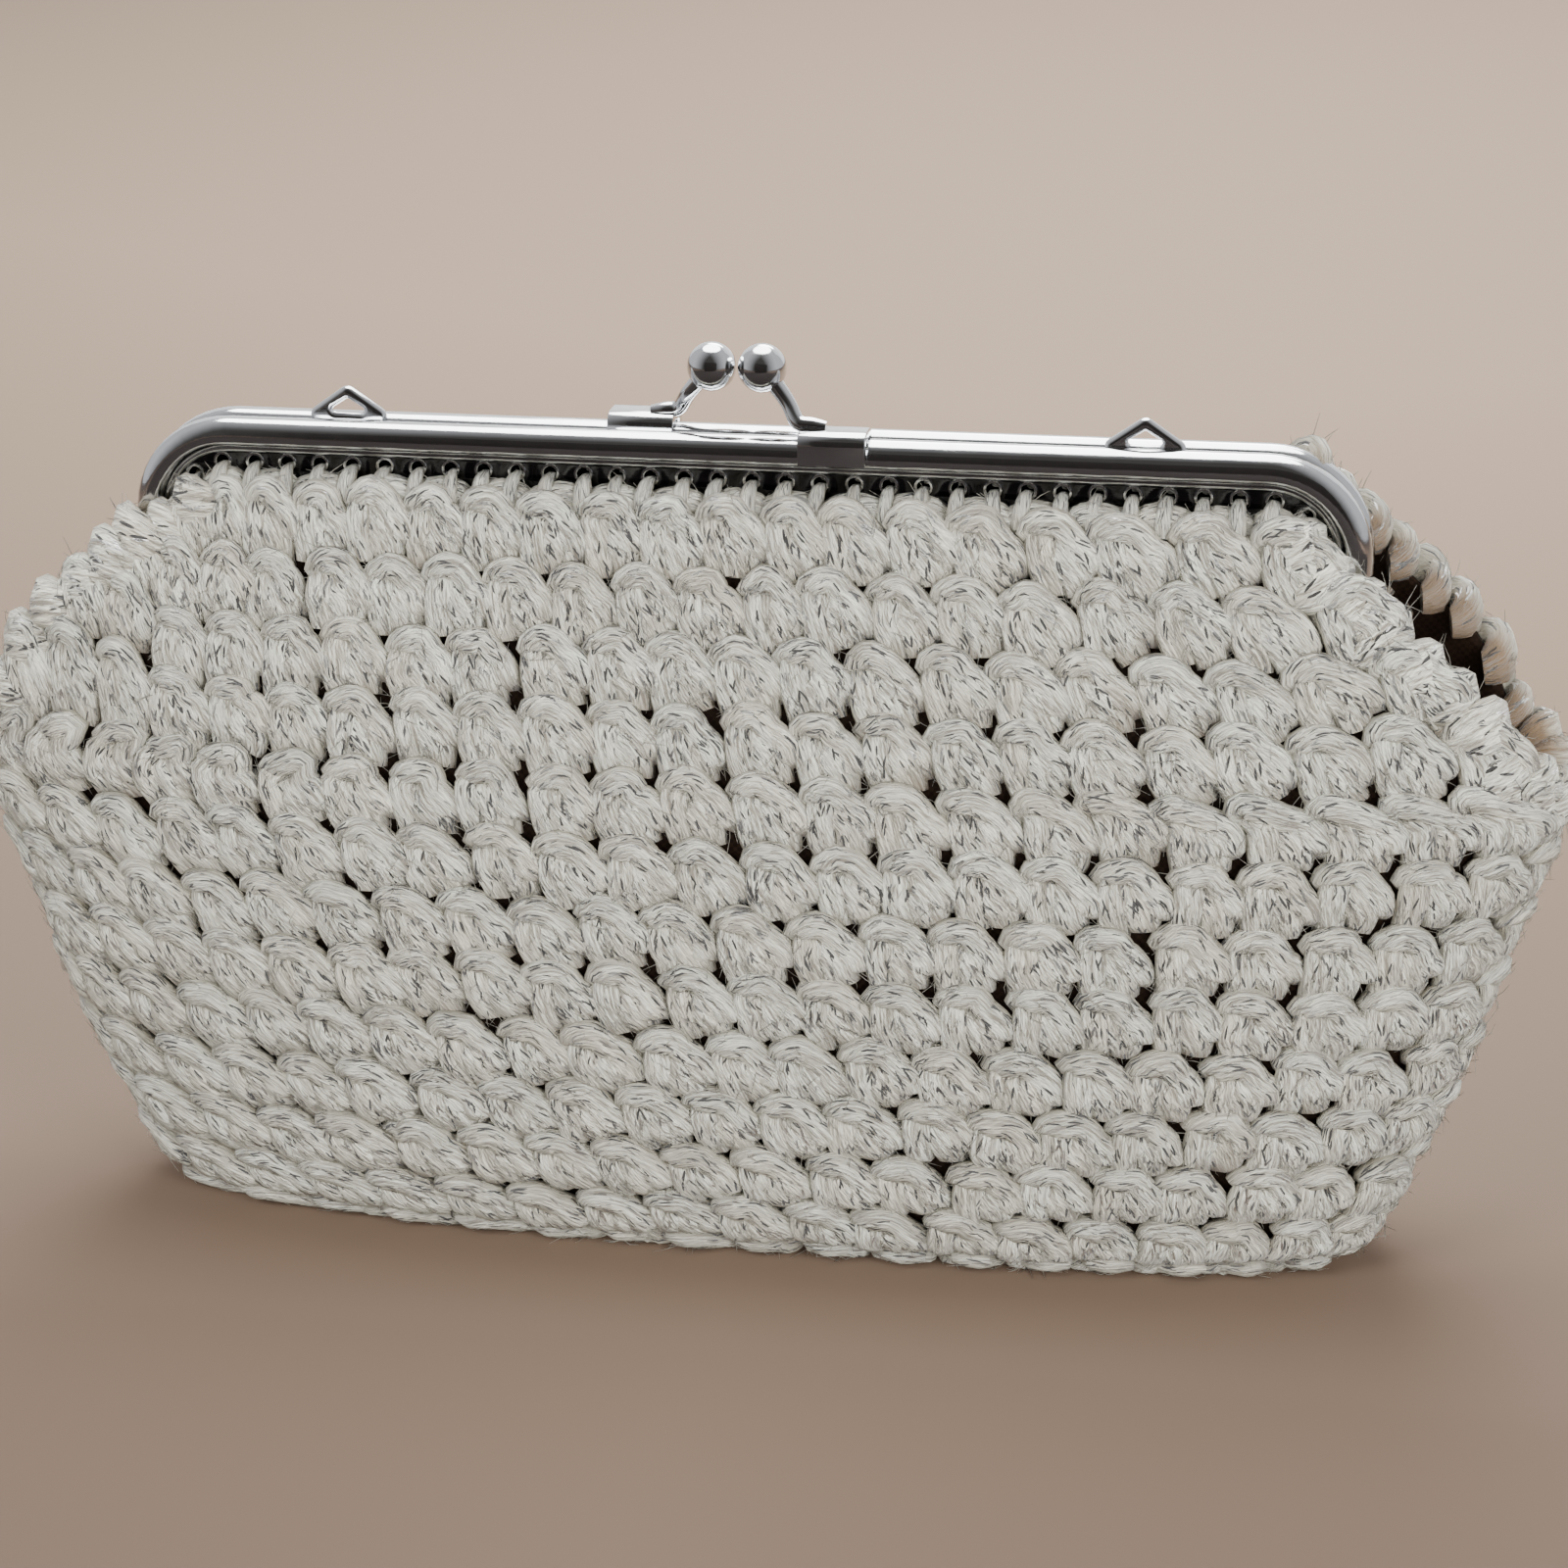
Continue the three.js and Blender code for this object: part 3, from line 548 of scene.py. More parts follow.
def yarn_material(name):
    """Yarn of fine twisted fibres in bundles, with painted shade in its fibre gaps, hollows and creases,
    metallic flecks and black painted reflections.
    """
    material, tree, surface = new_material(name)
    along = add_node(tree, "ShaderNodeAttribute", attribute_name="along").outputs["Fac"]
    around = add_node(tree, "ShaderNodeAttribute", attribute_name="around").outputs["Vector"]
    lift = add_node(tree, "ShaderNodeAttribute", attribute_name="lift").outputs["Fac"]

    def maths(operation, first, second, third=0.0):
        inputs = {0: first, 1: second, 2: third}
        return output_of(tree, "ShaderNodeMath", inputs, operation=operation)

    def yarn_place(twist, per_turn, per_metre):
        """Pattern place that stretches along the yarn and turns round it."""
        angle = maths("MULTIPLY", along, twist)
        twisted = output_of(
            tree, "ShaderNodeVectorRotate", {"Vector": around, "Angle": angle}, rotation_type="Z_AXIS"
        )
        run = output_of(tree, "ShaderNodeCombineXYZ", {2: maths("MULTIPLY", along, per_metre)})
        return output_of(
            tree,
            "ShaderNodeVectorMath",
            {0: twisted, 1: (per_turn, per_turn, 0.0), 2: run},
            operation="MULTIPLY_ADD",
        )

    def strands(twist, per_turn, per_metre, detail):
        return noise(tree, yarn_place(twist, per_turn, per_metre), 1.0, detail, FIBRE_ROUGHNESS)

    fibres = strands(FIBRE_TWISTS[0], FIBRES_AROUND, FIBRES_PER_METRE, detail=3.0)
    stray_fibres = strands(FIBRE_TWISTS[1], FIBRES_AROUND, FIBRES_PER_METRE, detail=2.0)
    bundles = strands(FIBRE_TWISTS[0], BUNDLES_AROUND, BUNDLES_PER_METRE, detail=2.0)
    patches = strands(0.0, PATCHES_AROUND, PATCHES_PER_METRE, detail=1.0)
    dark = 0.0
    bright = 0.0
    for twist in FIBRE_TWISTS:
        place = yarn_place(twist, FLECKS_AROUND, FLECKS_PER_METRE)
        flecks = add_node(tree, "ShaderNodeTexVoronoi", {"Vector": place, "Scale": 1.0})
        chance = add_node(tree, "ShaderNodeSeparateColor", {0: flecks.outputs["Color"]})
        thin = maths("LESS_THAN", flecks.outputs["Distance"], FLECK_SIZE)
        darker = maths("LESS_THAN", chance.outputs[0], FLECK_DARK_SHARE)
        brighter = maths("GREATER_THAN", chance.outputs[1], 1 - FLECK_BRIGHT_SHARE)
        dark = maths("MAXIMUM", maths("MULTIPLY", darker, thin), dark)
        bright = maths("MAXIMUM", maths("MULTIPLY", brighter, thin), bright)
    bundled = maths("MULTIPLY_ADD", bundles, BUNDLE_SHARE, fibres)
    spread = maths("MULTIPLY_ADD", stray_fibres, STRAY_SHARE, bundled)
    # Painted shade between the fibres: where the fibre noise is low, the yarn takes its shade colour.
    contrast = remap(tree, spread, *FIBRE_RANGE)
    warmth = remap(tree, patches, *WARM_RANGE)
    # Painted shade in the hollows: yarn whose guides lie deep is darkened towards the hollow colour.
    openness = remap(tree, lift, *OPEN_RANGE)
    # Painted shade in the creases: the sides of a strand that turn inwards, towards its neighbours, are
    # darkened.
    facing = output_of(tree, "ShaderNodeSeparateXYZ", {0: around})
    crease_shade = remap(tree, facing, *CREASE_RANGE, high=CREASE_SHADE_STRENGTH)
    lit = mix_colours(tree, contrast, YARN_SHADE, mix_colours(tree, warmth, YARN_LIGHT, YARN_WARM))
    crease_shaded = mix_colours(tree, crease_shade, lit, YARN_CREASE_PAINTED_SHADE)
    hollow_shaded = mix_colours(tree, openness, YARN_HOLLOW_PAINTED_SHADE, crease_shaded)
    # Black flecks, painted as the metallic thread's dark reflections.
    flecked = mix_colours(tree, dark, hollow_shaded, FLECK_DARK_REFLECTION)
    sparkling = mix_colours(tree, bright, flecked, FLECK_BRIGHT)
    rough = remap(tree, bright, 0.0, 1.0, YARN_ROUGHNESS, FLECK_ROUGHNESS)
    tree.links.new(sparkling, surface.inputs["Base Color"])
    tree.links.new(bright, surface.inputs["Metallic"])
    tree.links.new(rough, surface.inputs["Roughness"])
    surface.inputs["Sheen Weight"].default_value = YARN_SHEEN
    surface.inputs["Sheen Roughness"].default_value = YARN_SHEEN_ROUGHNESS
    add_relief(tree, surface, spread, strength=1.0, distance=FIBRE_RELIEF)
    return material


YARN = yarn_material("off_white_flecked_yarn")


# Half a turn about the upright middle line, from the front half of the pouch to the rear one.
HALF_TURN = np.array([-1.0, -1.0, 1.0])
# The open upper corners of the panels stand unevenly, and the right rear one climbs over the frame's corner.
# For the left and the right corner of each panel, seen from the front: rise, and where along X it starts.
SHOULDER_RISES = {
    "front": ((0.0078, 0.090), (0.0028, 0.090)),
    "rear": ((0.0042, 0.090), (0.0105, 0.077)),
}
SHOULDER_WIDTH = 0.018
SHOULDER_Z = 0.082
SHOULDER_HEIGHT = 0.020


def on_panel(points, panel):
    """Points of the front half put on a panel, turned round for the rear one, with its own shoulders."""
    placed = points * HALF_TURN if panel == "rear" else points.copy()
    level = np.clip((placed[..., 2] - SHOULDER_Z) / SHOULDER_HEIGHT, 0, 1)
    for sign, (rise, first) in zip((-1, 1), SHOULDER_RISES[panel]):
        side = np.clip((sign * placed[..., 0] - first) / SHOULDER_WIDTH, 0, 1)
        placed[..., 2] += rise * (3 - 2 * side) * side**2 * (3 - 2 * level) * level**2
    return placed


def panel_guides(guides, panel):
    """Guides of the front half put on a panel."""
    guides["position"] = [on_panel(part, panel) for part in guides["position"]]
    if panel == "rear":
        guides["outward"] = [part * HALF_TURN for part in guides["outward"]]
    return guides


# Loose fibre ends: how many, how thick and long they are, and how they stand off their strand.
FUZZ_PER_STRAND = 14
FUZZ_WIDTH = 0.00016
FUZZ_SHORTEST = 0.0020
FUZZ_LONGEST = 0.0042
FUZZ_LOWEST_LIFT = -0.0015
FUZZ_REACH_DEGREES = 80
FUZZ_STRAY = 0.55
FUZZ_RISE = (0.03, 0.22)
FUZZ_BEND = 0.6
FUZZ_TIP_RISE = (-0.2, 1.2)
FUZZ_ROOT_DEPTH = 0.0003
FUZZ_LOWEST_Z = 0.0002
FUZZ_GIRTH = np.array([[1.0, 0.9, 0.4]])


def fuzz_guides(guides, width, thickness, hairs, seed):
    """Loose fibre ends that lie along the strands and stand a little off them."""
    rng = np.random.default_rng(seed)
    data = {key: np.concatenate(parts) for key, parts in guides.items()}
    same_strand = data["strand"][:-1] == data["strand"][1:]
    start = rng.choice(np.flatnonzero((data["lift"][:-1] > FUZZ_LOWEST_LIFT) & same_strand), hairs)
    share = rng.uniform(0, 1, (hairs, 1))
    middle = data["position"][start] * (1 - share) + data["position"][start + 1] * share
    run = data["position"][start + 1] - data["position"][start]
    run /= np.linalg.norm(run, axis=1, keepdims=True)
    outward = data["outward"][start]
    aside = np.cross(run, outward)
    angle = np.radians(rng.uniform(-FUZZ_REACH_DEGREES, FUZZ_REACH_DEGREES, (hairs, 1)))
    radial = outward * np.cos(angle) + aside * np.sin(angle)
    size = data["girth"][start][:, None] / 2
    root = middle + (outward * np.cos(angle) * thickness + aside * np.sin(angle) * width) * size
    heading = run * rng.choice([-1, 1], (hairs, 1)) + aside * rng.normal(0, FUZZ_STRAY, (hairs, 1))
    length = rng.uniform(FUZZ_SHORTEST, FUZZ_LONGEST, (hairs, 1))
    rise = rng.uniform(*FUZZ_RISE, (hairs, 1)) * length
    points = np.stack([
        root - radial * FUZZ_ROOT_DEPTH,
        root + heading * length * 0.5 + radial * rise * FUZZ_BEND,
        root + heading * length + radial * rise * rng.uniform(*FUZZ_TIP_RISE, (hairs, 1)),
    ], axis=1)
    points[..., 2] = np.maximum(points[..., 2], FUZZ_LOWEST_Z)
    fuzz = new_guides()
    facing = np.repeat(outward[:, None], points.shape[1], axis=1)
    add_strands(fuzz, points, facing, FUZZ_GIRTH, np.zeros_like(FUZZ_GIRTH), rng)
    return fuzz


for side, seed in (("front", 11), ("rear", 23)):
    hooks = stitch_rows((HOOK,), HOOK_THICKNESS, seed)
    legs = stitch_rows((UPRIGHT_LEG, INNER_LEG), LEG_THICKNESS, seed)
    edges = edge_stitches(seed)
    for part_name, guides, width, thickness in (
        ("hooks", hooks, HOOK_WIDTH, HOOK_THICKNESS),
        ("legs", legs, LEG_WIDTH, LEG_THICKNESS),
        ("edges", edges, EDGE_WIDTH, EDGE_THICKNESS),
        ("top_chain", top_chain(seed), CHAIN_WIDTH, CHAIN_THICKNESS),
    ):
        guides = panel_guides(guides, side)
        stitches = sweep_yarn(
            f"{side}_stitch_{part_name}",
            guides,
            width,
            thickness,
            sides=8,
            steps=2,
            material=YARN,
            fullness=YARN_FULLNESS,
        )
        hairs = FUZZ_PER_STRAND * len(np.unique(np.concatenate(guides["strand"])))
        loose = fuzz_guides(guides, width, thickness, hairs, seed)
        fuzz = sweep_yarn(
            f"{side}_{part_name}_fuzz", loose, FUZZ_WIDTH, FUZZ_WIDTH, sides=3, steps=1, material=YARN
        )
        for piece in (stitches, fuzz):
            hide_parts("crochet_pouch")
            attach(piece, "root")

# Lining. A thin cloth bag sewn inside the crochet, stretched against its back, in a near-black brown that is
# partly painted shade of the bag's dark inside.
# It shows only through the holes between the stitches and down the open upper sides.
LINING_INSET = 0.0050
LINING_THICKNESS = 0.0006
LINING_TOP = 0.004
LINING_REACH = 0.985
LINING_ROWS = 60
LINING_COLUMNS = 90
# The lining's near-black brown is partly its own colour and partly painted shade, standing for the dark
# inside of the bag.
LINING_BROWN_AND_SHADE = (0.009, 0.0050, 0.0032, 1)
LINING_THREAD = (0.026, 0.0150, 0.0095, 1)
LINING_WEAVE = 1500.0
LINING_FADING = 90.0
LINING_ROUGHNESS = 0.8
LINING_RELIEF = 0.0001


def closed_shell(outer, inner):
    """Vertices and outward faces of a sheet with thickness, from two grids of points of the same shape."""
    rows, columns = outer.shape[:2]
    points = np.vstack([outer.reshape(-1, 3), inner.reshape(-1, 3)])
    place = np.arange(rows * columns).reshape(rows, columns)
    behind = place + rows * columns
    faces = []
    for r in range(rows - 1):
        for c in range(columns - 1):
            faces.append((place[r, c], place[r + 1, c], place[r + 1, c + 1], place[r, c + 1]))
            faces.append((behind[r, c], behind[r, c + 1], behind[r + 1, c + 1], behind[r + 1, c]))
    rim = np.concatenate([place[0, :], place[1:, -1], place[-1, -2::-1], place[-2:0:-1, 0]])
    for a, b in zip(rim, np.roll(rim, -1)):
        faces.append((a, b, b + rows * columns, a + rows * columns))
    return points, faces


def lining_material(name):
    """Plain weave of dark threads, some of them a little faded."""
    material, tree, surface = new_material(name)
    place = add_node(tree, "ShaderNodeTexCoord").outputs["Object"]
    threads = add_node(
        tree, "ShaderNodeTexChecker", {"Vector": place, "Scale": LINING_WEAVE}
    ).outputs["Fac"]
    faded = noise(tree, place, LINING_FADING, detail=3.0)
    share = output_of(tree, "ShaderNodeMath", {0: threads, 1: faded}, operation="MULTIPLY")
    colour = mix_colours(tree, share, LINING_BROWN_AND_SHADE, LINING_THREAD)
    tree.links.new(colour, surface.inputs["Base Color"])
    surface.inputs["Roughness"].default_value = LINING_ROUGHNESS
    add_relief(tree, surface, threads, strength=0.3, distance=LINING_RELIEF)
    return material


LINING = lining_material("lining_with_painted_shade")
lining_rows = np.linspace(LINING_TOP, distance_down[-1], LINING_ROWS)
lining_columns = np.linspace(-LINING_REACH, LINING_REACH, LINING_COLUMNS)
lining_across, lining_down = np.meshgrid(lining_columns, lining_rows)
for side in ("front", "rear"):
    sheets = []
    for inset in (LINING_INSET, LINING_INSET + LINING_THICKNESS):
        sheet, _ = on_pouch(lining_across, lining_down, np.full_like(lining_down, YARN_INSET - inset))
        sheet[..., 2] = np.maximum(sheet[..., 2], inset)
        sheets.append(on_panel(sheet, side))
    points, faces = closed_shell(*sheets)
    lining_mesh = bpy.data.meshes.new(f"{side}_lining")
    lining_mesh.from_pydata(points.tolist(), [], [tuple(int(i) for i in face) for face in faces])
    lining_mesh.polygons.foreach_set("use_smooth", np.ones(len(lining_mesh.polygons), bool))
    lining_mesh.materials.append(LINING)
    lining = new_object(f"{side}_lining", lining_mesh)
    work = bmesh.new()
    work.from_mesh(lining_mesh)
    bmesh.ops.recalc_face_normals(work, faces=work.faces)
    panel_area = sum(face.calc_area() for face in work.faces) / 2
    work.to_mesh(lining_mesh)
    work.free()
    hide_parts("crochet_pouch")
    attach(lining, "root")

# Frame halves. Pressed and chromed steel: a rounded bar with a raised ridge under it, and a thin flange
# pierced with a row of sewing holes that have turned rims. A tab with an eye ends each leg.
FRAME_WIDTH = 0.205
FRAME_TOP = 0.141
FRAME_CORNER_RADIUS = 0.017
LEG_LENGTH = 0.019
SEAM_GAP = 0.0004
SEAM_CLEARANCE = 0.0001
BAR_DEPTH = 0.0056
BAR_HEIGHT = 0.0042
BAR_SEAM_RADIUS = 0.0026
BAR_CROWN_RADIUS = 0.0028
BAR_FOOT_RADIUS = 0.0008
RIDGE_RADIUS = 0.0006
RIDGE_DROP = 0.0052
FLANGE_THICKNESS = 0.0010
FLANGE_DEPTH = 0.0024
FLANGE_BOTTOM = 0.0114
FLANGE_ROOT = 0.003
FLANGE_EDGE_ROLL = 0.00015
SEWING_HOLE_RADIUS = 0.0012
SEWING_HOLE_DROP = 0.0074
SEWING_HOLE_PITCH = 0.0056
RIM_WIRE_RADIUS = 0.00028
RIM_OVERHANG = 0.6
HINGE_DROP = 0.023
HINGE_EYE_RADIUS = 0.003
HINGE_PIN_HOLE = 0.0015
HINGE_TAB_THICKNESS = 0.0014
HINGE_TAB_REACH = 0.0034
HINGE_TAB_BACK = 0.0008
HINGE_TAB_EDGE_ROLL = 0.0002
HINGE_TAB_SUNK = 0.0012
HINGE_TAB_INNER_X = 0.0986
HINGE_TAB_OUTER_X = 0.10042
CHROME_TINT = (0.86, 0.87, 0.88, 1)
CHROME_WORN = (0.62, 0.61, 0.58, 1)
# The flange's near-black tint is painted: it stands for dark reflections and shade in the recess under the
# bar.
FLANGE_PAINTED_DARK_TINT = (0.07, 0.07, 0.075, 1)
SMEAR_SCALE = 160.0
SMEAR_RANGE = (0.55, 0.80)
POLISH_RANGE = (0.3, 0.8)
POLISH_ROUGHNESS = (0.05, 0.2)
HAIRLINE_SCALE = (120.0, 2600.0, 2600.0)
HAIRLINE_DEPTH = 0.00005
# A short step along the frame's line or in from it, to find its direction.
LINE_STEP = 0.001
SHARP_ANGLE = float(np.radians(35))
MERGE_DISTANCE = 1e-6
HALVES = (("front", 0), ("back", np.pi))


def plate_wear_group():
    """Faint cloudy smears and hairline scratches of a plated surface: its colour, roughness and height."""
    inputs = {"Tint": "Color", "Smear": "Float"}
    outputs = {"Color": "Color", "Roughness": "Float", "Height": "Float"}
    tree, enter = new_group("plate_wear", "ShaderNodeTree", inputs, outputs)
    place = add_node(tree, "ShaderNodeTexCoord").outputs["Object"]
    clouds = noise(tree, place, SMEAR_SCALE, detail=5.0, roughness=0.6)
    stretched = output_of(tree, "ShaderNodeMapping", {"Vector": place, "Scale": HAIRLINE_SCALE})
    worn = remap(tree, clouds, *SMEAR_RANGE, high=enter["Smear"])
    result = {
        "Color": mix_colours(tree, worn, enter["Tint"], CHROME_WORN),
        "Roughness": remap(tree, clouds, *POLISH_RANGE, *POLISH_ROUGHNESS),
        "Height": noise(tree, stretched, scale=1.0, detail=2.0),
    }
    add_node(tree, "NodeGroupOutput", result)
    return tree


PLATE_WEAR = plate_wear_group()


def chrome_material(name, tint, smear):
    """Bright plate, worn by handling."""
    material, tree, surface = new_material(name)
    wear = add_node(tree, "ShaderNodeGroup", {"Tint": tint, "Smear": smear}, node_tree=PLATE_WEAR).outputs
    tree.links.new(wear["Color"], surface.inputs["Base Color"])
    tree.links.new(wear["Roughness"], surface.inputs["Roughness"])
    surface.inputs["Metallic"].default_value = 1.0
    add_relief(tree, surface, wear["Height"], strength=0.12, distance=HAIRLINE_DEPTH)
    return material


CHROME = chrome_material("bright_chrome", CHROME_TINT, smear=0.5)
# The flange and the hinge tabs get the painted dark tint.
FLANGE_CHROME_PAINTED_DARK = chrome_material("flange_chrome_painted_dark_reflection", FLANGE_PAINTED_DARK_TINT, smear=0.1)


def frame_line(drop, steps=14):
    """The frame's line seen from the front, this far in from its outer edge, from left to right foot."""
    side = FRAME_WIDTH / 2 - drop
    radius = FRAME_CORNER_RADIUS - drop
    angles = np.linspace(np.pi, np.pi / 2, steps)
    left = np.c_[
        radius * np.cos(angles) - (side - radius),
        radius * np.sin(angles) + FRAME_TOP - drop - radius,
    ]
    right = left[::-1] * [-1, 1]
    foot = FRAME_TOP - LEG_LENGTH
    return np.vstack([[-side, foot], left, right, [side, foot]])


def arc(centre_x, centre_y, radius, first, last, steps=9):
    angles = np.radians(np.linspace(first, last, steps))
    return np.c_[centre_x + radius * np.cos(angles), centre_y + radius * np.sin(angles)]


def finish_edges(mesh):
    """Merges a mesh's corners, turns its faces outwards and keeps only its real edges sharp."""
    work = bmesh.new()
    work.from_mesh(mesh)
    bmesh.ops.remove_doubles(work, verts=work.verts, dist=MERGE_DISTANCE)
    bmesh.ops.recalc_face_normals(work, faces=work.faces)
    for face in work.faces:
        face.smooth = True
    for edge in work.edges:
        edge.smooth = len(edge.link_faces) == 2 and edge.calc_face_angle(0) < SHARP_ANGLE
    work.to_mesh(mesh)
    work.free()


def flat_plate(name, outline, holes, thickness, rim, rolls=1):
    """Plate cut in the XY plane, with holes and slightly rolled edges, centred on that plane."""
    curve = bpy.data.curves.new(name, "CURVE")
    curve.dimensions = "2D"
    curve.fill_mode = "BOTH"
    curve.extrude = thickness / 2 - rim
    curve.bevel_depth = rim
    curve.bevel_resolution = rolls
    curve.offset = -rim
    for ring in (outline, *holes):
        spline = curve.splines.new("POLY")
        spline.points.add(len(ring) - 1)
        corners = np.c_[ring, np.zeros(len(ring)), np.ones(len(ring))]
        spline.points.foreach_set("co", corners.ravel())
        spline.use_cyclic_u = True
    maker = new_object(name, curve)
    bpy.context.view_layer.update()
    mesh = bpy.data.meshes.new_from_object(maker.evaluated_get(bpy.context.evaluated_depsgraph_get()))
    bpy.data.objects.remove(maker)
    bpy.data.curves.remove(curve)
    return mesh


def stand_along(mesh, middle_y):
    """Stands a flat plate up along the frame, with its middle at this depth."""
    mesh.transform(Matrix.Translation((0, middle_y, 0)) @ Matrix.Rotation(np.pi / 2, 4, "X"))
    return mesh


def stand_across(mesh, middle_x):
    """Stands a flat plate up across the frame, with its middle at this place along it."""
    mesh.transform(Matrix(((0, 0, 1, middle_x), (1, 0, 0, 0), (0, 1, 0, 0), (0, 0, 0, 1))))
    return mesh


def chromed_piece(name, meshes, node, material):
    """Joins meshes into one chromed piece that stands for a node."""
    work = bmesh.new()
    for mesh in meshes:
        work.from_mesh(mesh)
    joined = bpy.data.meshes.new(name)
    work.to_mesh(joined)
    work.free()
    finish_edges(joined)
    joined.materials.clear()
    joined.materials.append(material)
    piece = new_object(name, joined)
    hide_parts(node)
    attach(piece, "root")
    return piece


def bar_sweep_tree():
    """Tree that sweeps the bar's section along the frame's line."""
    inputs = {"Frame Line": "Geometry", "Section": "Object", "Material": "Material"}
    tree, enter = new_group("bar_sweep", "GeometryNodeTree", inputs, {"Bar": "Geometry"})
    tree.is_modifier = True
    line = output_of(tree, "GeometryNodeMeshToCurve", {"Mesh": enter["Frame Line"]})
    inward = add_node(
        tree, "GeometryNodeInputNamedAttribute", {"Name": "inward"}, data_type="FLOAT_VECTOR"
    ).outputs["Attribute"]
    facing = output_of(tree, "GeometryNodeSetCurveNormal", {"Curve": line, "Normal": inward}, mode="FREE")
    section = add_node(tree, "GeometryNodeObjectInfo", {"Object": enter["Section"]}).outputs["Geometry"]
    outline = output_of(tree, "GeometryNodeMeshToCurve", {"Mesh": section})
    swept = output_of(
        tree, "GeometryNodeCurveToMesh", {"Curve": facing, "Profile Curve": outline, "Fill Caps": True}
    )
    real = output_of(tree, "GeometryNodeRealizeInstances", {0: swept})
    painted = output_of(tree, "GeometryNodeSetMaterial", {0: real, "Material": enter["Material"]})
    add_node(tree, "NodeGroupOutput", {"Bar": painted})
    return tree


def bar_mesh():
    """The front half's bar, with its ridge."""
    crown = BAR_CROWN_RADIUS
    under = BAR_FOOT_RADIUS
    flange_face = FLANGE_DEPTH + FLANGE_THICKNESS
    seam = BAR_SEAM_RADIUS
    section = np.vstack([
        [[0, BAR_HEIGHT]],
        arc(seam, seam, seam, 180, 270, 11),
        arc(BAR_DEPTH - crown, crown, crown, -90, 0, 11),
        arc(BAR_DEPTH - under, BAR_HEIGHT - under, under, 0, 90, 7),
        arc(flange_face, RIDGE_DROP, RIDGE_RADIUS, -90, 90),
        [[FLANGE_DEPTH, RIDGE_DROP + RIDGE_RADIUS], [FLANGE_DEPTH, BAR_HEIGHT]],
    ])
    corners = [(drop, -(SEAM_GAP / 2 + depth), 0) for depth, drop in section]
    count = len(corners)
    section_mesh = bpy.data.meshes.new("bar_section")
    section_mesh.from_pydata(corners, [(i, (i + 1) % count) for i in range(count)], [])
    section_object = new_object("bar_section", section_mesh)
    outer = frame_line(0)
    inward = frame_line(LINE_STEP) - outer
    inward[[0, -1], 1] = 0
    inward /= np.linalg.norm(inward, axis=1, keepdims=True)
    line = bpy.data.meshes.new("frame_line")
    line.from_pydata(
        [(x, 0, z) for x, z in outer], [(i, i + 1) for i in range(len(outer) - 1)], []
    )
    turned = line.attributes.new("inward", "FLOAT_VECTOR", "POINT")
    turned.data.foreach_set("vector", np.c_[inward[:, 0], np.zeros(len(inward)), inward[:, 1]].ravel())
    maker = new_object("bar", line)
    run_tree(maker, bar_sweep_tree(), {"Section": section_object, "Material": CHROME})
    mesh = maker.data
    bpy.data.objects.remove(maker)
    bpy.data.objects.remove(section_object)
    return mesh


def sewing_hole_places():
    """Middle of each sewing hole and the direction in from the frame there, seen from the front."""
    line = frame_line(SEWING_HOLE_DROP)
    lengths = np.append(0, np.cumsum(np.linalg.norm(np.diff(line, axis=0), axis=1)))
    gaps = int(lengths[-1] / SEWING_HOLE_PITCH) - 1
    margin = (lengths[-1] - gaps * SEWING_HOLE_PITCH) / 2
    at = margin + np.arange(gaps + 1) * SEWING_HOLE_PITCH
    places, ahead = (
        np.c_[np.interp(stops, lengths, line[:, 0]), np.interp(stops, lengths, line[:, 1])]
        for stops in (at, at + LINE_STEP)
    )
    run = ahead - places
    inward = np.c_[run[:, 1], -run[:, 0]]
    return places, inward / np.linalg.norm(inward, axis=1, keepdims=True)


def hole_rims_tree():
    """Tree that sets a turned rim of thin wire round each sewing hole."""
    inputs = {"Holes": "Geometry", "Rim Radius": "Float", "Wire Radius": "Float", "Material": "Material"}
    tree, enter = new_group("hole_rims", "GeometryNodeTree", inputs, {"Rims": "Geometry"})
    tree.is_modifier = True
    ring = output_of(
        tree, "GeometryNodeCurvePrimitiveCircle", {"Resolution": 14, "Radius": enter["Rim Radius"]}
    )
    wire = output_of(
        tree, "GeometryNodeCurvePrimitiveCircle", {"Resolution": 6, "Radius": enter["Wire Radius"]}
    )
    rim = output_of(tree, "GeometryNodeCurveToMesh", {"Curve": ring, "Profile Curve": wire})
    upright = output_of(tree, "GeometryNodeTransform", {"Geometry": rim, "Rotation": (np.pi / 2, 0, 0)})
    set_out = output_of(
        tree, "GeometryNodeInstanceOnPoints", {"Points": enter["Holes"], "Instance": upright}
    )
    real = output_of(tree, "GeometryNodeRealizeInstances", {0: set_out})
    painted = output_of(tree, "GeometryNodeSetMaterial", {0: real, "Material": enter["Material"]})
    add_node(tree, "NodeGroupOutput", {"Rims": painted})
    return tree


def hole_rims_mesh(places):
    """The turned rims on the front face of the front half's flange."""
    front = -(SEAM_GAP / 2 + FLANGE_DEPTH + FLANGE_THICKNESS)
    holes = bpy.data.meshes.new("hole_rims")
    holes.from_pydata([(x, front, z) for x, z in places], [], [])
    maker = new_object("hole_rims", holes)
    rim_radius = SEWING_HOLE_RADIUS + RIM_WIRE_RADIUS * RIM_OVERHANG
    values = {"Rim Radius": rim_radius, "Wire Radius": RIM_WIRE_RADIUS, "Material": CHROME}
    run_tree(maker, hole_rims_tree(), values)
    mesh = maker.data
    bpy.data.objects.remove(maker)
    return mesh


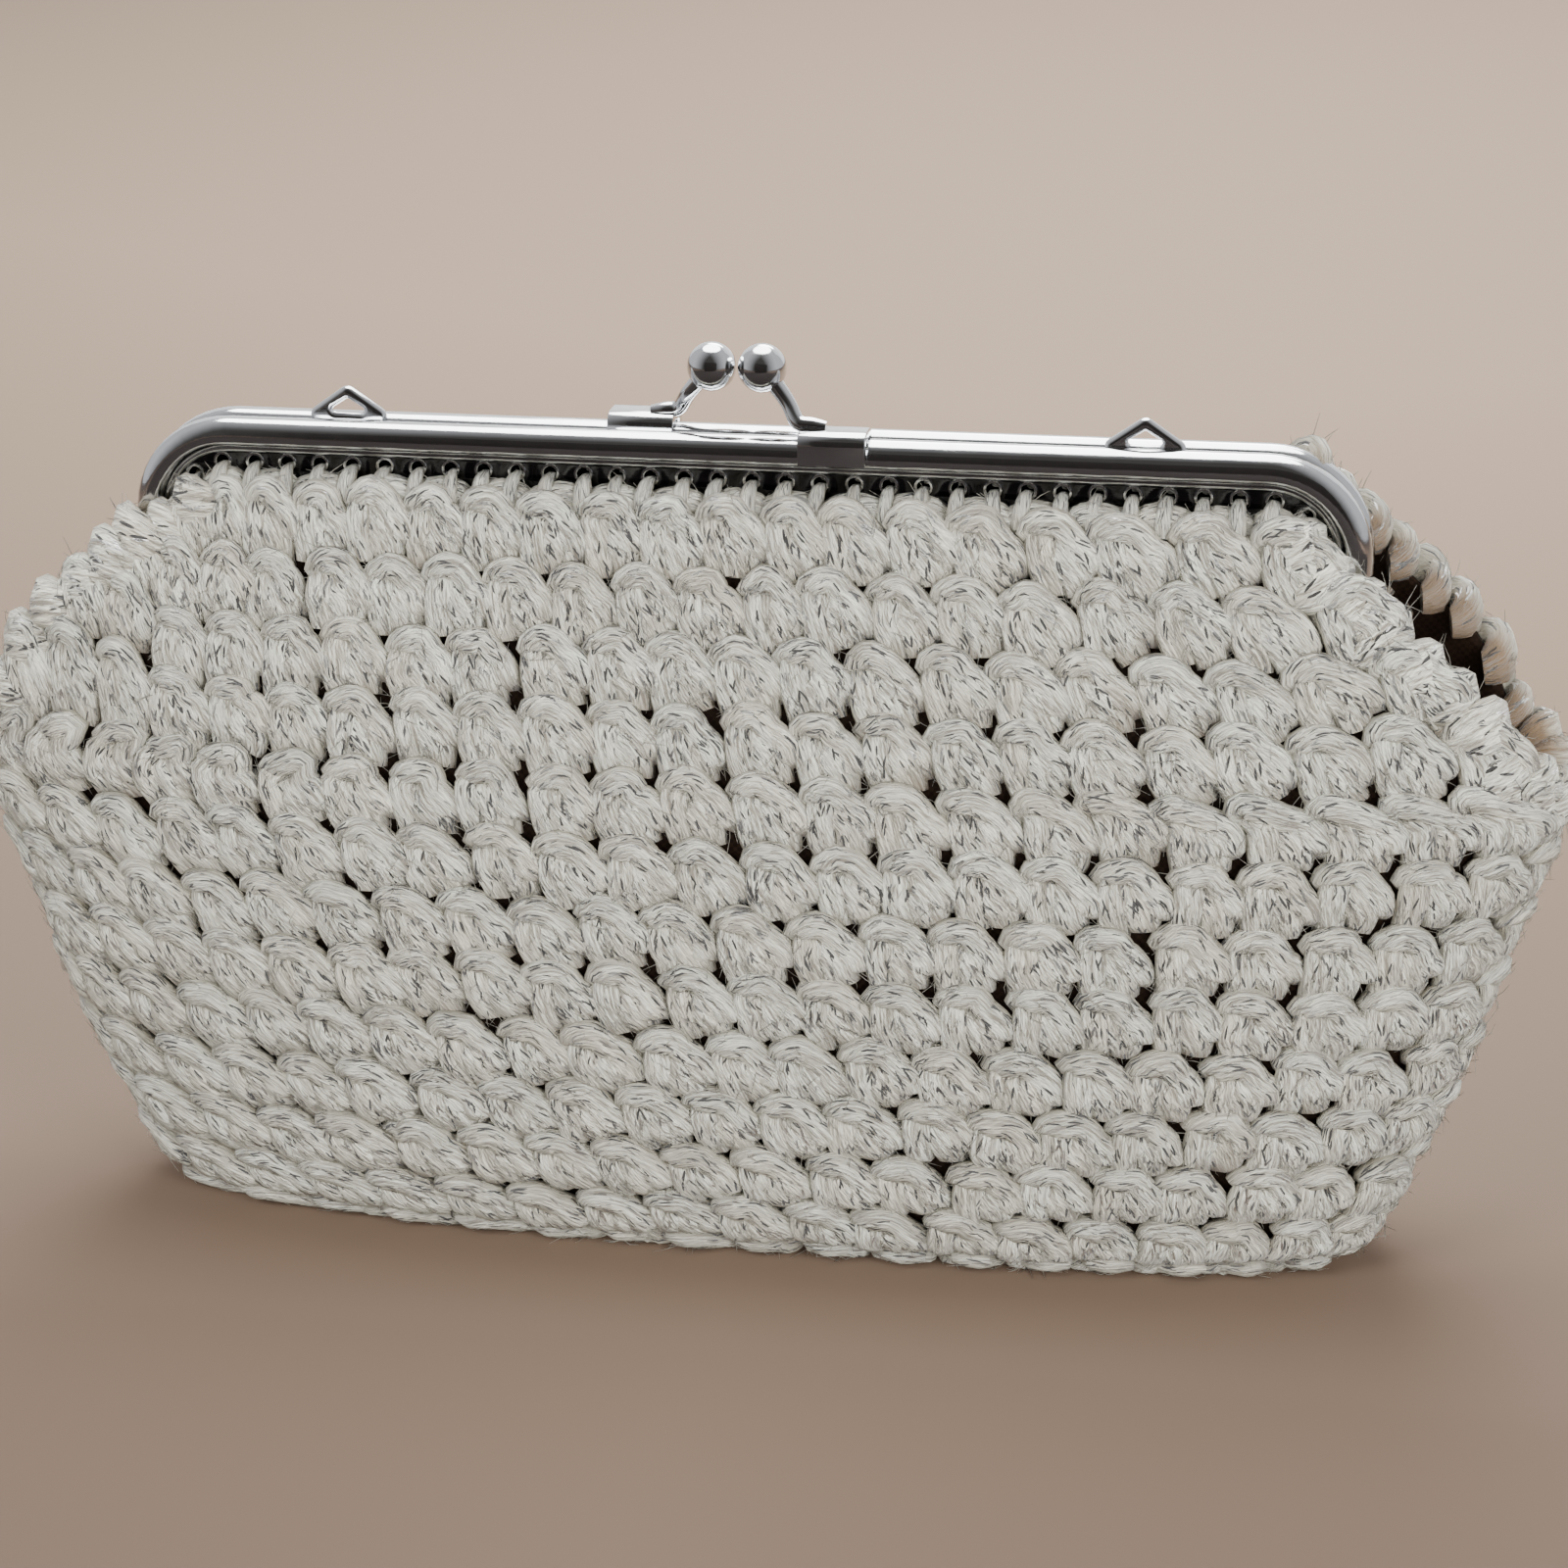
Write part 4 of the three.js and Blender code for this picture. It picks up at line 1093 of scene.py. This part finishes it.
def flange_mesh(places):
    """The front half's flange, pierced with its sewing holes."""
    outline = np.vstack([frame_line(FLANGE_ROOT), frame_line(FLANGE_BOTTOM)[::-1]])
    holes = [arc(x, z, SEWING_HOLE_RADIUS, 0, 342, 20) for x, z in places]
    plate = flat_plate("flange", outline, holes, FLANGE_THICKNESS, FLANGE_EDGE_ROLL)
    return stand_along(plate, -(SEAM_GAP / 2 + FLANGE_DEPTH + FLANGE_THICKNESS / 2))


def hinge_tab_mesh(middle_x):
    """Tab with an eye, standing across the frame at the end of one leg."""
    foot = FRAME_TOP - LEG_LENGTH + HINGE_TAB_SUNK
    hinge_z = FRAME_TOP - HINGE_DROP
    outline = np.vstack([
        [[-HINGE_TAB_REACH, foot]],
        arc(0, hinge_z, HINGE_EYE_RADIUS, 180, 460, 24),
        [[-HINGE_TAB_BACK, foot]],
    ])
    eye = arc(0, hinge_z, HINGE_PIN_HOLE, 0, 342, 20)
    plate = flat_plate("hinge_tab", outline, [eye], HINGE_TAB_THICKNESS, HINGE_TAB_EDGE_ROLL)
    return stand_across(plate, middle_x)


hole_places, hole_inward = sewing_hole_places()
for side, turn in HALVES:
    half_turn = Matrix.Rotation(turn, 4, "Z")
    bar = bar_mesh()
    flange = flange_mesh(hole_places)
    rims = hole_rims_mesh(hole_places)
    tabs = [
        hinge_tab_mesh(HINGE_TAB_INNER_X + HINGE_TAB_THICKNESS / 2),
        hinge_tab_mesh(-HINGE_TAB_OUTER_X - HINGE_TAB_THICKNESS / 2),
    ]
    for mesh in (bar, flange, rims, *tabs):
        mesh.transform(half_turn)
    chromed_piece(f"{side}_bar", [bar], f"{side}_frame", CHROME)
    chromed_piece(f"{side}_flange", [flange, *tabs], f"{side}_frame", FLANGE_CHROME_PAINTED_DARK)
    chromed_piece(f"{side}_hole_rims", [rims], f"{side}_frame", CHROME)

# Sewing yarn. A thinner doubled end of the same yarn, whipped through every hole of the flange
# and down into the first row of stitches.
SEWING_YARN_WIDTH = 0.0026
SEWING_YARN_THICKNESS = 0.0022
SEWING_LEAN = 0.0005
SEWING_REACH_UNEVENNESS = 0.06
SEWING_GIRTH_UNEVENNESS = 0.07
# The strands face this far to the front, and this far back towards the bar.
SEWING_FACING = (0.9, 0.4)
# Guide points of one strand: distance in from the hole, distance in front of the seam, girth.
SEWING_STRAND = np.array([
    [0.0006, -0.0014, 0.60],
    [0.0005, -0.0036, 0.72],
    [0.0009, -0.0050, 0.95],
    [0.0020, -0.0064, 1.10],
    [0.0038, -0.0074, 1.20],
    [0.0060, -0.0070, 1.15],
])


def sewing_guides(seed):
    """Guides for one strand through each sewing hole of the front half."""
    rng = np.random.default_rng(seed)
    guides = new_guides()
    count = len(hole_places)
    lean = rng.normal(0, SEWING_LEAN, (count, 1)) * np.linspace(0, 1, len(SEWING_STRAND))[None, :]
    reach = SEWING_STRAND[None, :, 0] * rng.normal(1, SEWING_REACH_UNEVENNESS, (count, 1))
    x = hole_places[:, 0, None] + hole_inward[:, 0, None] * reach - hole_inward[:, 1, None] * lean
    z = hole_places[:, 1, None] + hole_inward[:, 1, None] * reach + hole_inward[:, 0, None] * lean
    y = np.broadcast_to(SEWING_STRAND[:, 1], x.shape)
    outward = np.zeros((count, len(SEWING_STRAND), 3))
    outward[..., 1] = -SEWING_FACING[0]
    outward[..., [0, 2]] = -SEWING_FACING[1] * hole_inward[:, None, :]
    girth = SEWING_STRAND[None, :, 2] * rng.normal(1, SEWING_GIRTH_UNEVENNESS, (count, 1))
    lift = np.zeros_like(x)
    add_strands(guides, np.stack([x, y, z], axis=-1), outward, girth, lift, rng)
    return guides


for side, seed in (("front", 5), ("rear", 6)):
    guides = sewing_guides(seed)
    if side == "rear":
        for key in ("position", "outward"):
            guides[key] = [part * HALF_TURN for part in guides[key]]
    sewing = sweep_yarn(
        f"{side}_sewing_yarn",
        guides,
        SEWING_YARN_WIDTH,
        SEWING_YARN_THICKNESS,
        sides=10,
        steps=3,
        material=YARN,
    )
    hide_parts("crochet_pouch")
    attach(sewing, "root")

# Knobs of the kiss-lock. A chromed ball brazed to a bent neck of round wire, whose foot is a saddle of
# sheet metal crimped over the bar. The two balls snap past each other.
BALL_RADIUS = 0.004
BALL_SPACING = 0.0083
BALL_LIFT = 0.0104
NECK_RADIUS = 0.0013
SADDLE_START = 0.011
SADDLE_LENGTH = 0.011
SADDLE_THICKNESS = 0.0015
SADDLE_REACH = 0.0034
SADDLE_CLEARANCE = 0.0003
SADDLE_CORNER = 0.0020
SADDLE_SEAM_CORNER = 0.0022
SADDLE_EDGE_ROLL = 0.00022
SADDLE_CROWN = FRAME_TOP + SADDLE_CLEARANCE + SADDLE_THICKNESS


def ball_mesh(middle):
    """Round ball about this middle."""
    work = bmesh.new()
    bmesh.ops.create_uvsphere(work, u_segments=40, v_segments=24, radius=BALL_RADIUS)
    mesh = bpy.data.meshes.new("ball")
    work.to_mesh(mesh)
    work.free()
    mesh.transform(Matrix.Translation(middle))
    return mesh


def neck_mesh(points, girth):
    """Bent neck of round wire, with a flare where it is brazed to the ball."""
    guides = new_guides()
    line = np.array(points)[None]
    outward = np.broadcast_to([0.0, -1.0, 0.0], line.shape)
    level = np.zeros((1, len(points)))
    add_strands(guides, line, outward, np.array(girth)[None], level, np.random.default_rng(1))
    across = 2 * NECK_RADIUS
    neck = sweep_yarn("neck", guides, across, across, sides=20, steps=5, material=CHROME)
    mesh = neck.data
    bpy.data.objects.remove(neck)
    return mesh


def saddle_mesh():
    """Sheet bent over the bar, as its end outline pushed along the bar."""
    seam = -(SEAM_GAP / 2 + SEAM_CLEARANCE)
    outer = -(SEAM_GAP / 2 + BAR_DEPTH + SADDLE_CLEARANCE + SADDLE_THICKNESS)
    foot = FRAME_TOP - SADDLE_REACH
    inner_top = SADDLE_CROWN - SADDLE_THICKNESS
    inner_side = outer + SADDLE_THICKNESS
    bend = (SADDLE_CORNER - SADDLE_THICKNESS / 2) / 2
    outline = np.vstack([
        [[seam, foot]],
        arc(seam - SADDLE_SEAM_CORNER, SADDLE_CROWN - SADDLE_SEAM_CORNER, SADDLE_SEAM_CORNER, 0, 90, 8),
        arc(outer + SADDLE_CORNER, SADDLE_CROWN - SADDLE_CORNER, SADDLE_CORNER, 90, 180, 8),
        [[outer, foot], [inner_side, foot]],
        arc(inner_side + bend, inner_top - bend, bend, 180, 90, 6),
        [[seam - SADDLE_THICKNESS, inner_top], [seam - SADDLE_THICKNESS, foot]],
    ])
    plate = flat_plate("saddle", outline, [], SADDLE_LENGTH, SADDLE_EDGE_ROLL)
    return stand_across(plate, SADDLE_START + SADDLE_LENGTH / 2)


for side, turn in HALVES:
    ball_middle = Vector((BALL_SPACING / 2, 0, FRAME_TOP + BALL_LIFT))
    bar_middle = -(SEAM_GAP / 2 + BAR_DEPTH / 2)
    # The neck's middle line, from the saddle's crown up into the ball.
    neck_line = [
        (SADDLE_START + 0.0040, bar_middle, SADDLE_CROWN),
        (SADDLE_START + 0.0018, bar_middle, SADDLE_CROWN + 0.0003),
        (SADDLE_START - 0.0006, bar_middle, SADDLE_CROWN + 0.0007),
        (ball_middle.x + 0.0044, bar_middle / 2, FRAME_TOP + BALL_LIFT / 2),
        (ball_middle.x + 0.0022, bar_middle / 5, FRAME_TOP + 0.76 * BALL_LIFT),
        (ball_middle.x, 0, FRAME_TOP + BALL_LIFT),
    ]
    neck_girth = [0.75, 0.95, 1.0, 1.0, 1.12, 1.3]
    meshes = [ball_mesh(ball_middle), neck_mesh(neck_line, neck_girth), saddle_mesh()]
    for mesh in meshes:
        mesh.transform(Matrix.Rotation(turn, 4, "Z"))
    chromed_piece(f"{side}_ball_and_saddle", meshes, f"{side}_knob", CHROME)

# Chain loops. A small triangle of flat chromed wire with rounded edges, let into each bar by its base.
# It takes the end hook of a carrying chain.
LOOP_X = 0.066
LOOP_BASE = 0.013
LOOP_RISE = 0.0047
LOOP_SINK = 0.0019
LOOP_STRIP = 0.0021
LOOP_EYE_BASE = 0.0054
LOOP_DEPTH = 0.0019
LOOP_CORNER = 0.0016
LOOP_ROUNDING = 0.0009


def loop_outline(half_base, bottom, top, corner):
    """Triangle with rounded corners, standing on its base."""
    lean = np.degrees(np.arctan2(top - bottom - 2 * corner, half_base - corner))
    normal = 90 - lean
    return np.vstack([
        arc(LOOP_X + half_base - corner, bottom + corner, corner, -90, normal),
        arc(LOOP_X, top - corner, corner, normal, 180 - normal),
        arc(LOOP_X - half_base + corner, bottom + corner, corner, 180 - normal, 270),
    ])


for side, turn in HALVES:
    bottom = FRAME_TOP - LOOP_SINK
    top = FRAME_TOP + LOOP_RISE
    outline = loop_outline(LOOP_BASE / 2, bottom, top, LOOP_CORNER)
    eye = loop_outline(LOOP_EYE_BASE / 2, bottom + LOOP_STRIP, top - LOOP_STRIP, LOOP_CORNER / 3)
    plate = flat_plate("chain_loop", outline, [eye], LOOP_DEPTH, LOOP_ROUNDING, rolls=4)
    loop = stand_along(plate, -(SEAM_GAP / 2 + SEAM_CLEARANCE + LOOP_DEPTH / 2))
    loop.transform(Matrix.Rotation(turn, 4, "Z"))
    chromed_piece(f"{side}_wire_loop", [loop], f"{side}_chain_loop", CHROME)

# Rivets. A turned and chromed steel pin with two low domed heads goes through the eyes of the two tabs at
# the end of each leg, and joins the frame's halves there.

# Columns of the table: radius, distance along the pin from its middle.
RIVET_PROFILE = np.array([
    [0.0000, -0.00293],
    [0.0012, -0.00283],
    [0.0020, -0.00250],
    [0.0023, -0.00205],
    [0.0023, -0.00191],
    [0.0012, -0.00191],
    [0.0012, 0.00191],
    [0.0023, 0.00191],
    [0.0023, 0.00205],
    [0.0020, 0.00250],
    [0.0012, 0.00283],
    [0.0000, 0.00293],
])
for side, sign in (("left", -1), ("right", 1)):
    work = bmesh.new()
    middle_x = sign * (HINGE_TAB_INNER_X + HINGE_TAB_OUTER_X + HINGE_TAB_THICKNESS) / 2
    middle_z = FRAME_TOP - HINGE_DROP
    turned = [work.verts.new((middle_x + along, 0, middle_z + radius)) for radius, along in RIVET_PROFILE]
    line = [work.edges.new(pair) for pair in zip(turned[:-1], turned[1:])]
    bmesh.ops.spin(
        work,
        geom=turned + line,
        cent=(middle_x, 0, middle_z),
        axis=(1, 0, 0),
        angle=2 * np.pi,
        steps=28,
    )
    rivet = bpy.data.meshes.new(f"{side}_rivet")
    work.to_mesh(rivet)
    work.free()
    chromed_piece(f"{side}_rivet", [rivet], f"hinge_pin_{side}", CHROME)

# Floor and lights. A plain floor with painted shade that darkens it to the front and the sides, and soft
# lamps all round, as in a small photo studio. Cards that only the chrome can see: two dark ones where a dark
# room in front of the bag would be, and a white one behind it.
FLOOR_BEIGE = (0.300, 0.213, 0.148, 1)
FLOOR_FRONT_PAINTED_SHADE = (0.099, 0.066, 0.047, 1)
FLOOR_FADE = (0.5, -0.25)
FLOOR_SIDE_SHARE = -0.5
CARD_DARK = (0.01, 0.007, 0.006, 1)
CARD_WHITE = (0.8, 0.8, 0.8, 1)
CARD_GLOW = (0.93, 0.96, 1.0, 1)
CARD_GLOW_STRENGTH = 0.9
STAGE_ROUGHNESS = 0.9
SKY_FRONT = (0.10, 0.095, 0.09, 1)
SKY_BACK = (0.95, 0.96, 1.0, 1)
SKY_FADE = (-0.5, 0.6)
SKY_SIDE_SHARE = 0.8
SKY_STRENGTH = 0.6


def stage_sheet(name, corners, colour):
    """Flat four-cornered sheet of the stage, and its material's inputs."""
    material, _, surface = new_material(name)
    surface.inputs["Base Color"].default_value = colour
    surface.inputs["Roughness"].default_value = STAGE_ROUGHNESS
    mesh = bpy.data.meshes.new(name)
    mesh.from_pydata(corners, [], [(0, 1, 2, 3)])
    mesh.materials.append(material)
    sheet = new_object(name, mesh)
    return sheet, surface.inputs


def backward(tree, place, side_share):
    """How far back a place lies, plus this share of how far it lies to either side."""
    parts = add_node(tree, "ShaderNodeSeparateXYZ", {0: place}).outputs
    aside = output_of(tree, "ShaderNodeMath", {0: parts[0]}, operation="ABSOLUTE")
    inputs = {0: aside, 1: side_share, 2: parts[1]}
    return output_of(tree, "ShaderNodeMath", inputs, operation="MULTIPLY_ADD")


def soft_lamp(name, place, aim, size, watts):
    """Round soft lamp at a place, turned to what it lights."""
    lamp_data = bpy.data.lights.new(name, "AREA")
    lamp_data.shape = "DISK"
    lamp_data.size = size
    lamp_data.energy = watts
    lamp = new_object(name, lamp_data)
    lamp.location = place
    lamp.rotation_euler = (Vector(aim) - Vector(place)).to_track_quat("-Z", "Y").to_euler()
    return lamp


floor, floor_inputs = stage_sheet("floor", [(-3, -3, 0), (3, -3, 0), (3, 3, 0), (-3, 3, 0)], FLOOR_BEIGE)
floor_tree = floor.data.materials[0].node_tree
floor_place = add_node(floor_tree, "ShaderNodeTexCoord").outputs["Object"]
# Painted shade on the floor: darker towards the front and the sides.
front_shade_share = remap(floor_tree, backward(floor_tree, floor_place, FLOOR_SIDE_SHARE), *FLOOR_FADE)
floor_colour = mix_colours(floor_tree, front_shade_share, FLOOR_BEIGE, FLOOR_FRONT_PAINTED_SHADE)
floor_tree.links.new(floor_colour, floor_inputs["Base Color"])
low_card, _ = stage_sheet(
    "low_dark_card",
    [(-0.7, -0.97, 0.004), (0.7, -0.97, 0.004), (0.7, -0.05, 0.004), (-0.7, -0.05, 0.004)],
    CARD_DARK,
)
rear_card, rear_inputs = stage_sheet(
    "rear_white_card",
    [(2.5, 2.4, 0.10), (-2.5, 2.4, 0.10), (-2.5, 2.0, 2.60), (2.5, 2.0, 2.60)],
    CARD_WHITE,
)
rear_inputs["Emission Color"].default_value = CARD_GLOW
rear_inputs["Emission Strength"].default_value = CARD_GLOW_STRENGTH
front_card, _ = stage_sheet(
    "front_dark_card",
    [(-0.40, -0.96, 0.00), (0.60, -0.96, 0.00), (0.60, -0.80, 0.65), (-0.40, -0.80, 0.65)],
    CARD_DARK,
)
for card in (low_card, rear_card, front_card):
    card.visible_camera = False
    card.visible_diffuse = False
    card.visible_shadow = False
    card.visible_transmission = False

soft_lamp("overhead_lamp", (-0.05, 0.30, 0.95), (0, 0, 0.07), size=0.9, watts=16.5)
soft_lamp("backdrop_lamp", (0, 1.15, 0.9), (0, 1.3, 0), size=0.8, watts=18)
left_front = soft_lamp("left_front_lamp", (-0.60, -0.80, 0.75), (0, 0, 0.07), size=0.5, watts=11.5)
right_front = soft_lamp("right_front_lamp", (0.85, -0.85, 0.55), (0, 0, 0.07), size=0.6, watts=17.5)
low_front = soft_lamp("low_front_lamp", (0.25, -1.00, 0.24), (0, 0, 0.05), size=0.7, watts=12)
for lamp in (left_front, right_front, low_front):
    lamp.visible_glossy = False
world = bpy.data.worlds.new("studio")
world.use_nodes = True
world_tree = world.node_tree
direction = add_node(world_tree, "ShaderNodeTexCoord").outputs["Generated"]
brightness = remap(world_tree, backward(world_tree, direction, SKY_SIDE_SHARE), *SKY_FADE)
sky = mix_colours(world_tree, brightness, SKY_FRONT, SKY_BACK)
world_tree.links.new(sky, world_tree.nodes["Background"].inputs["Color"])
world_tree.nodes["Background"].inputs["Strength"].default_value = SKY_STRENGTH
bpy.context.scene.world = world
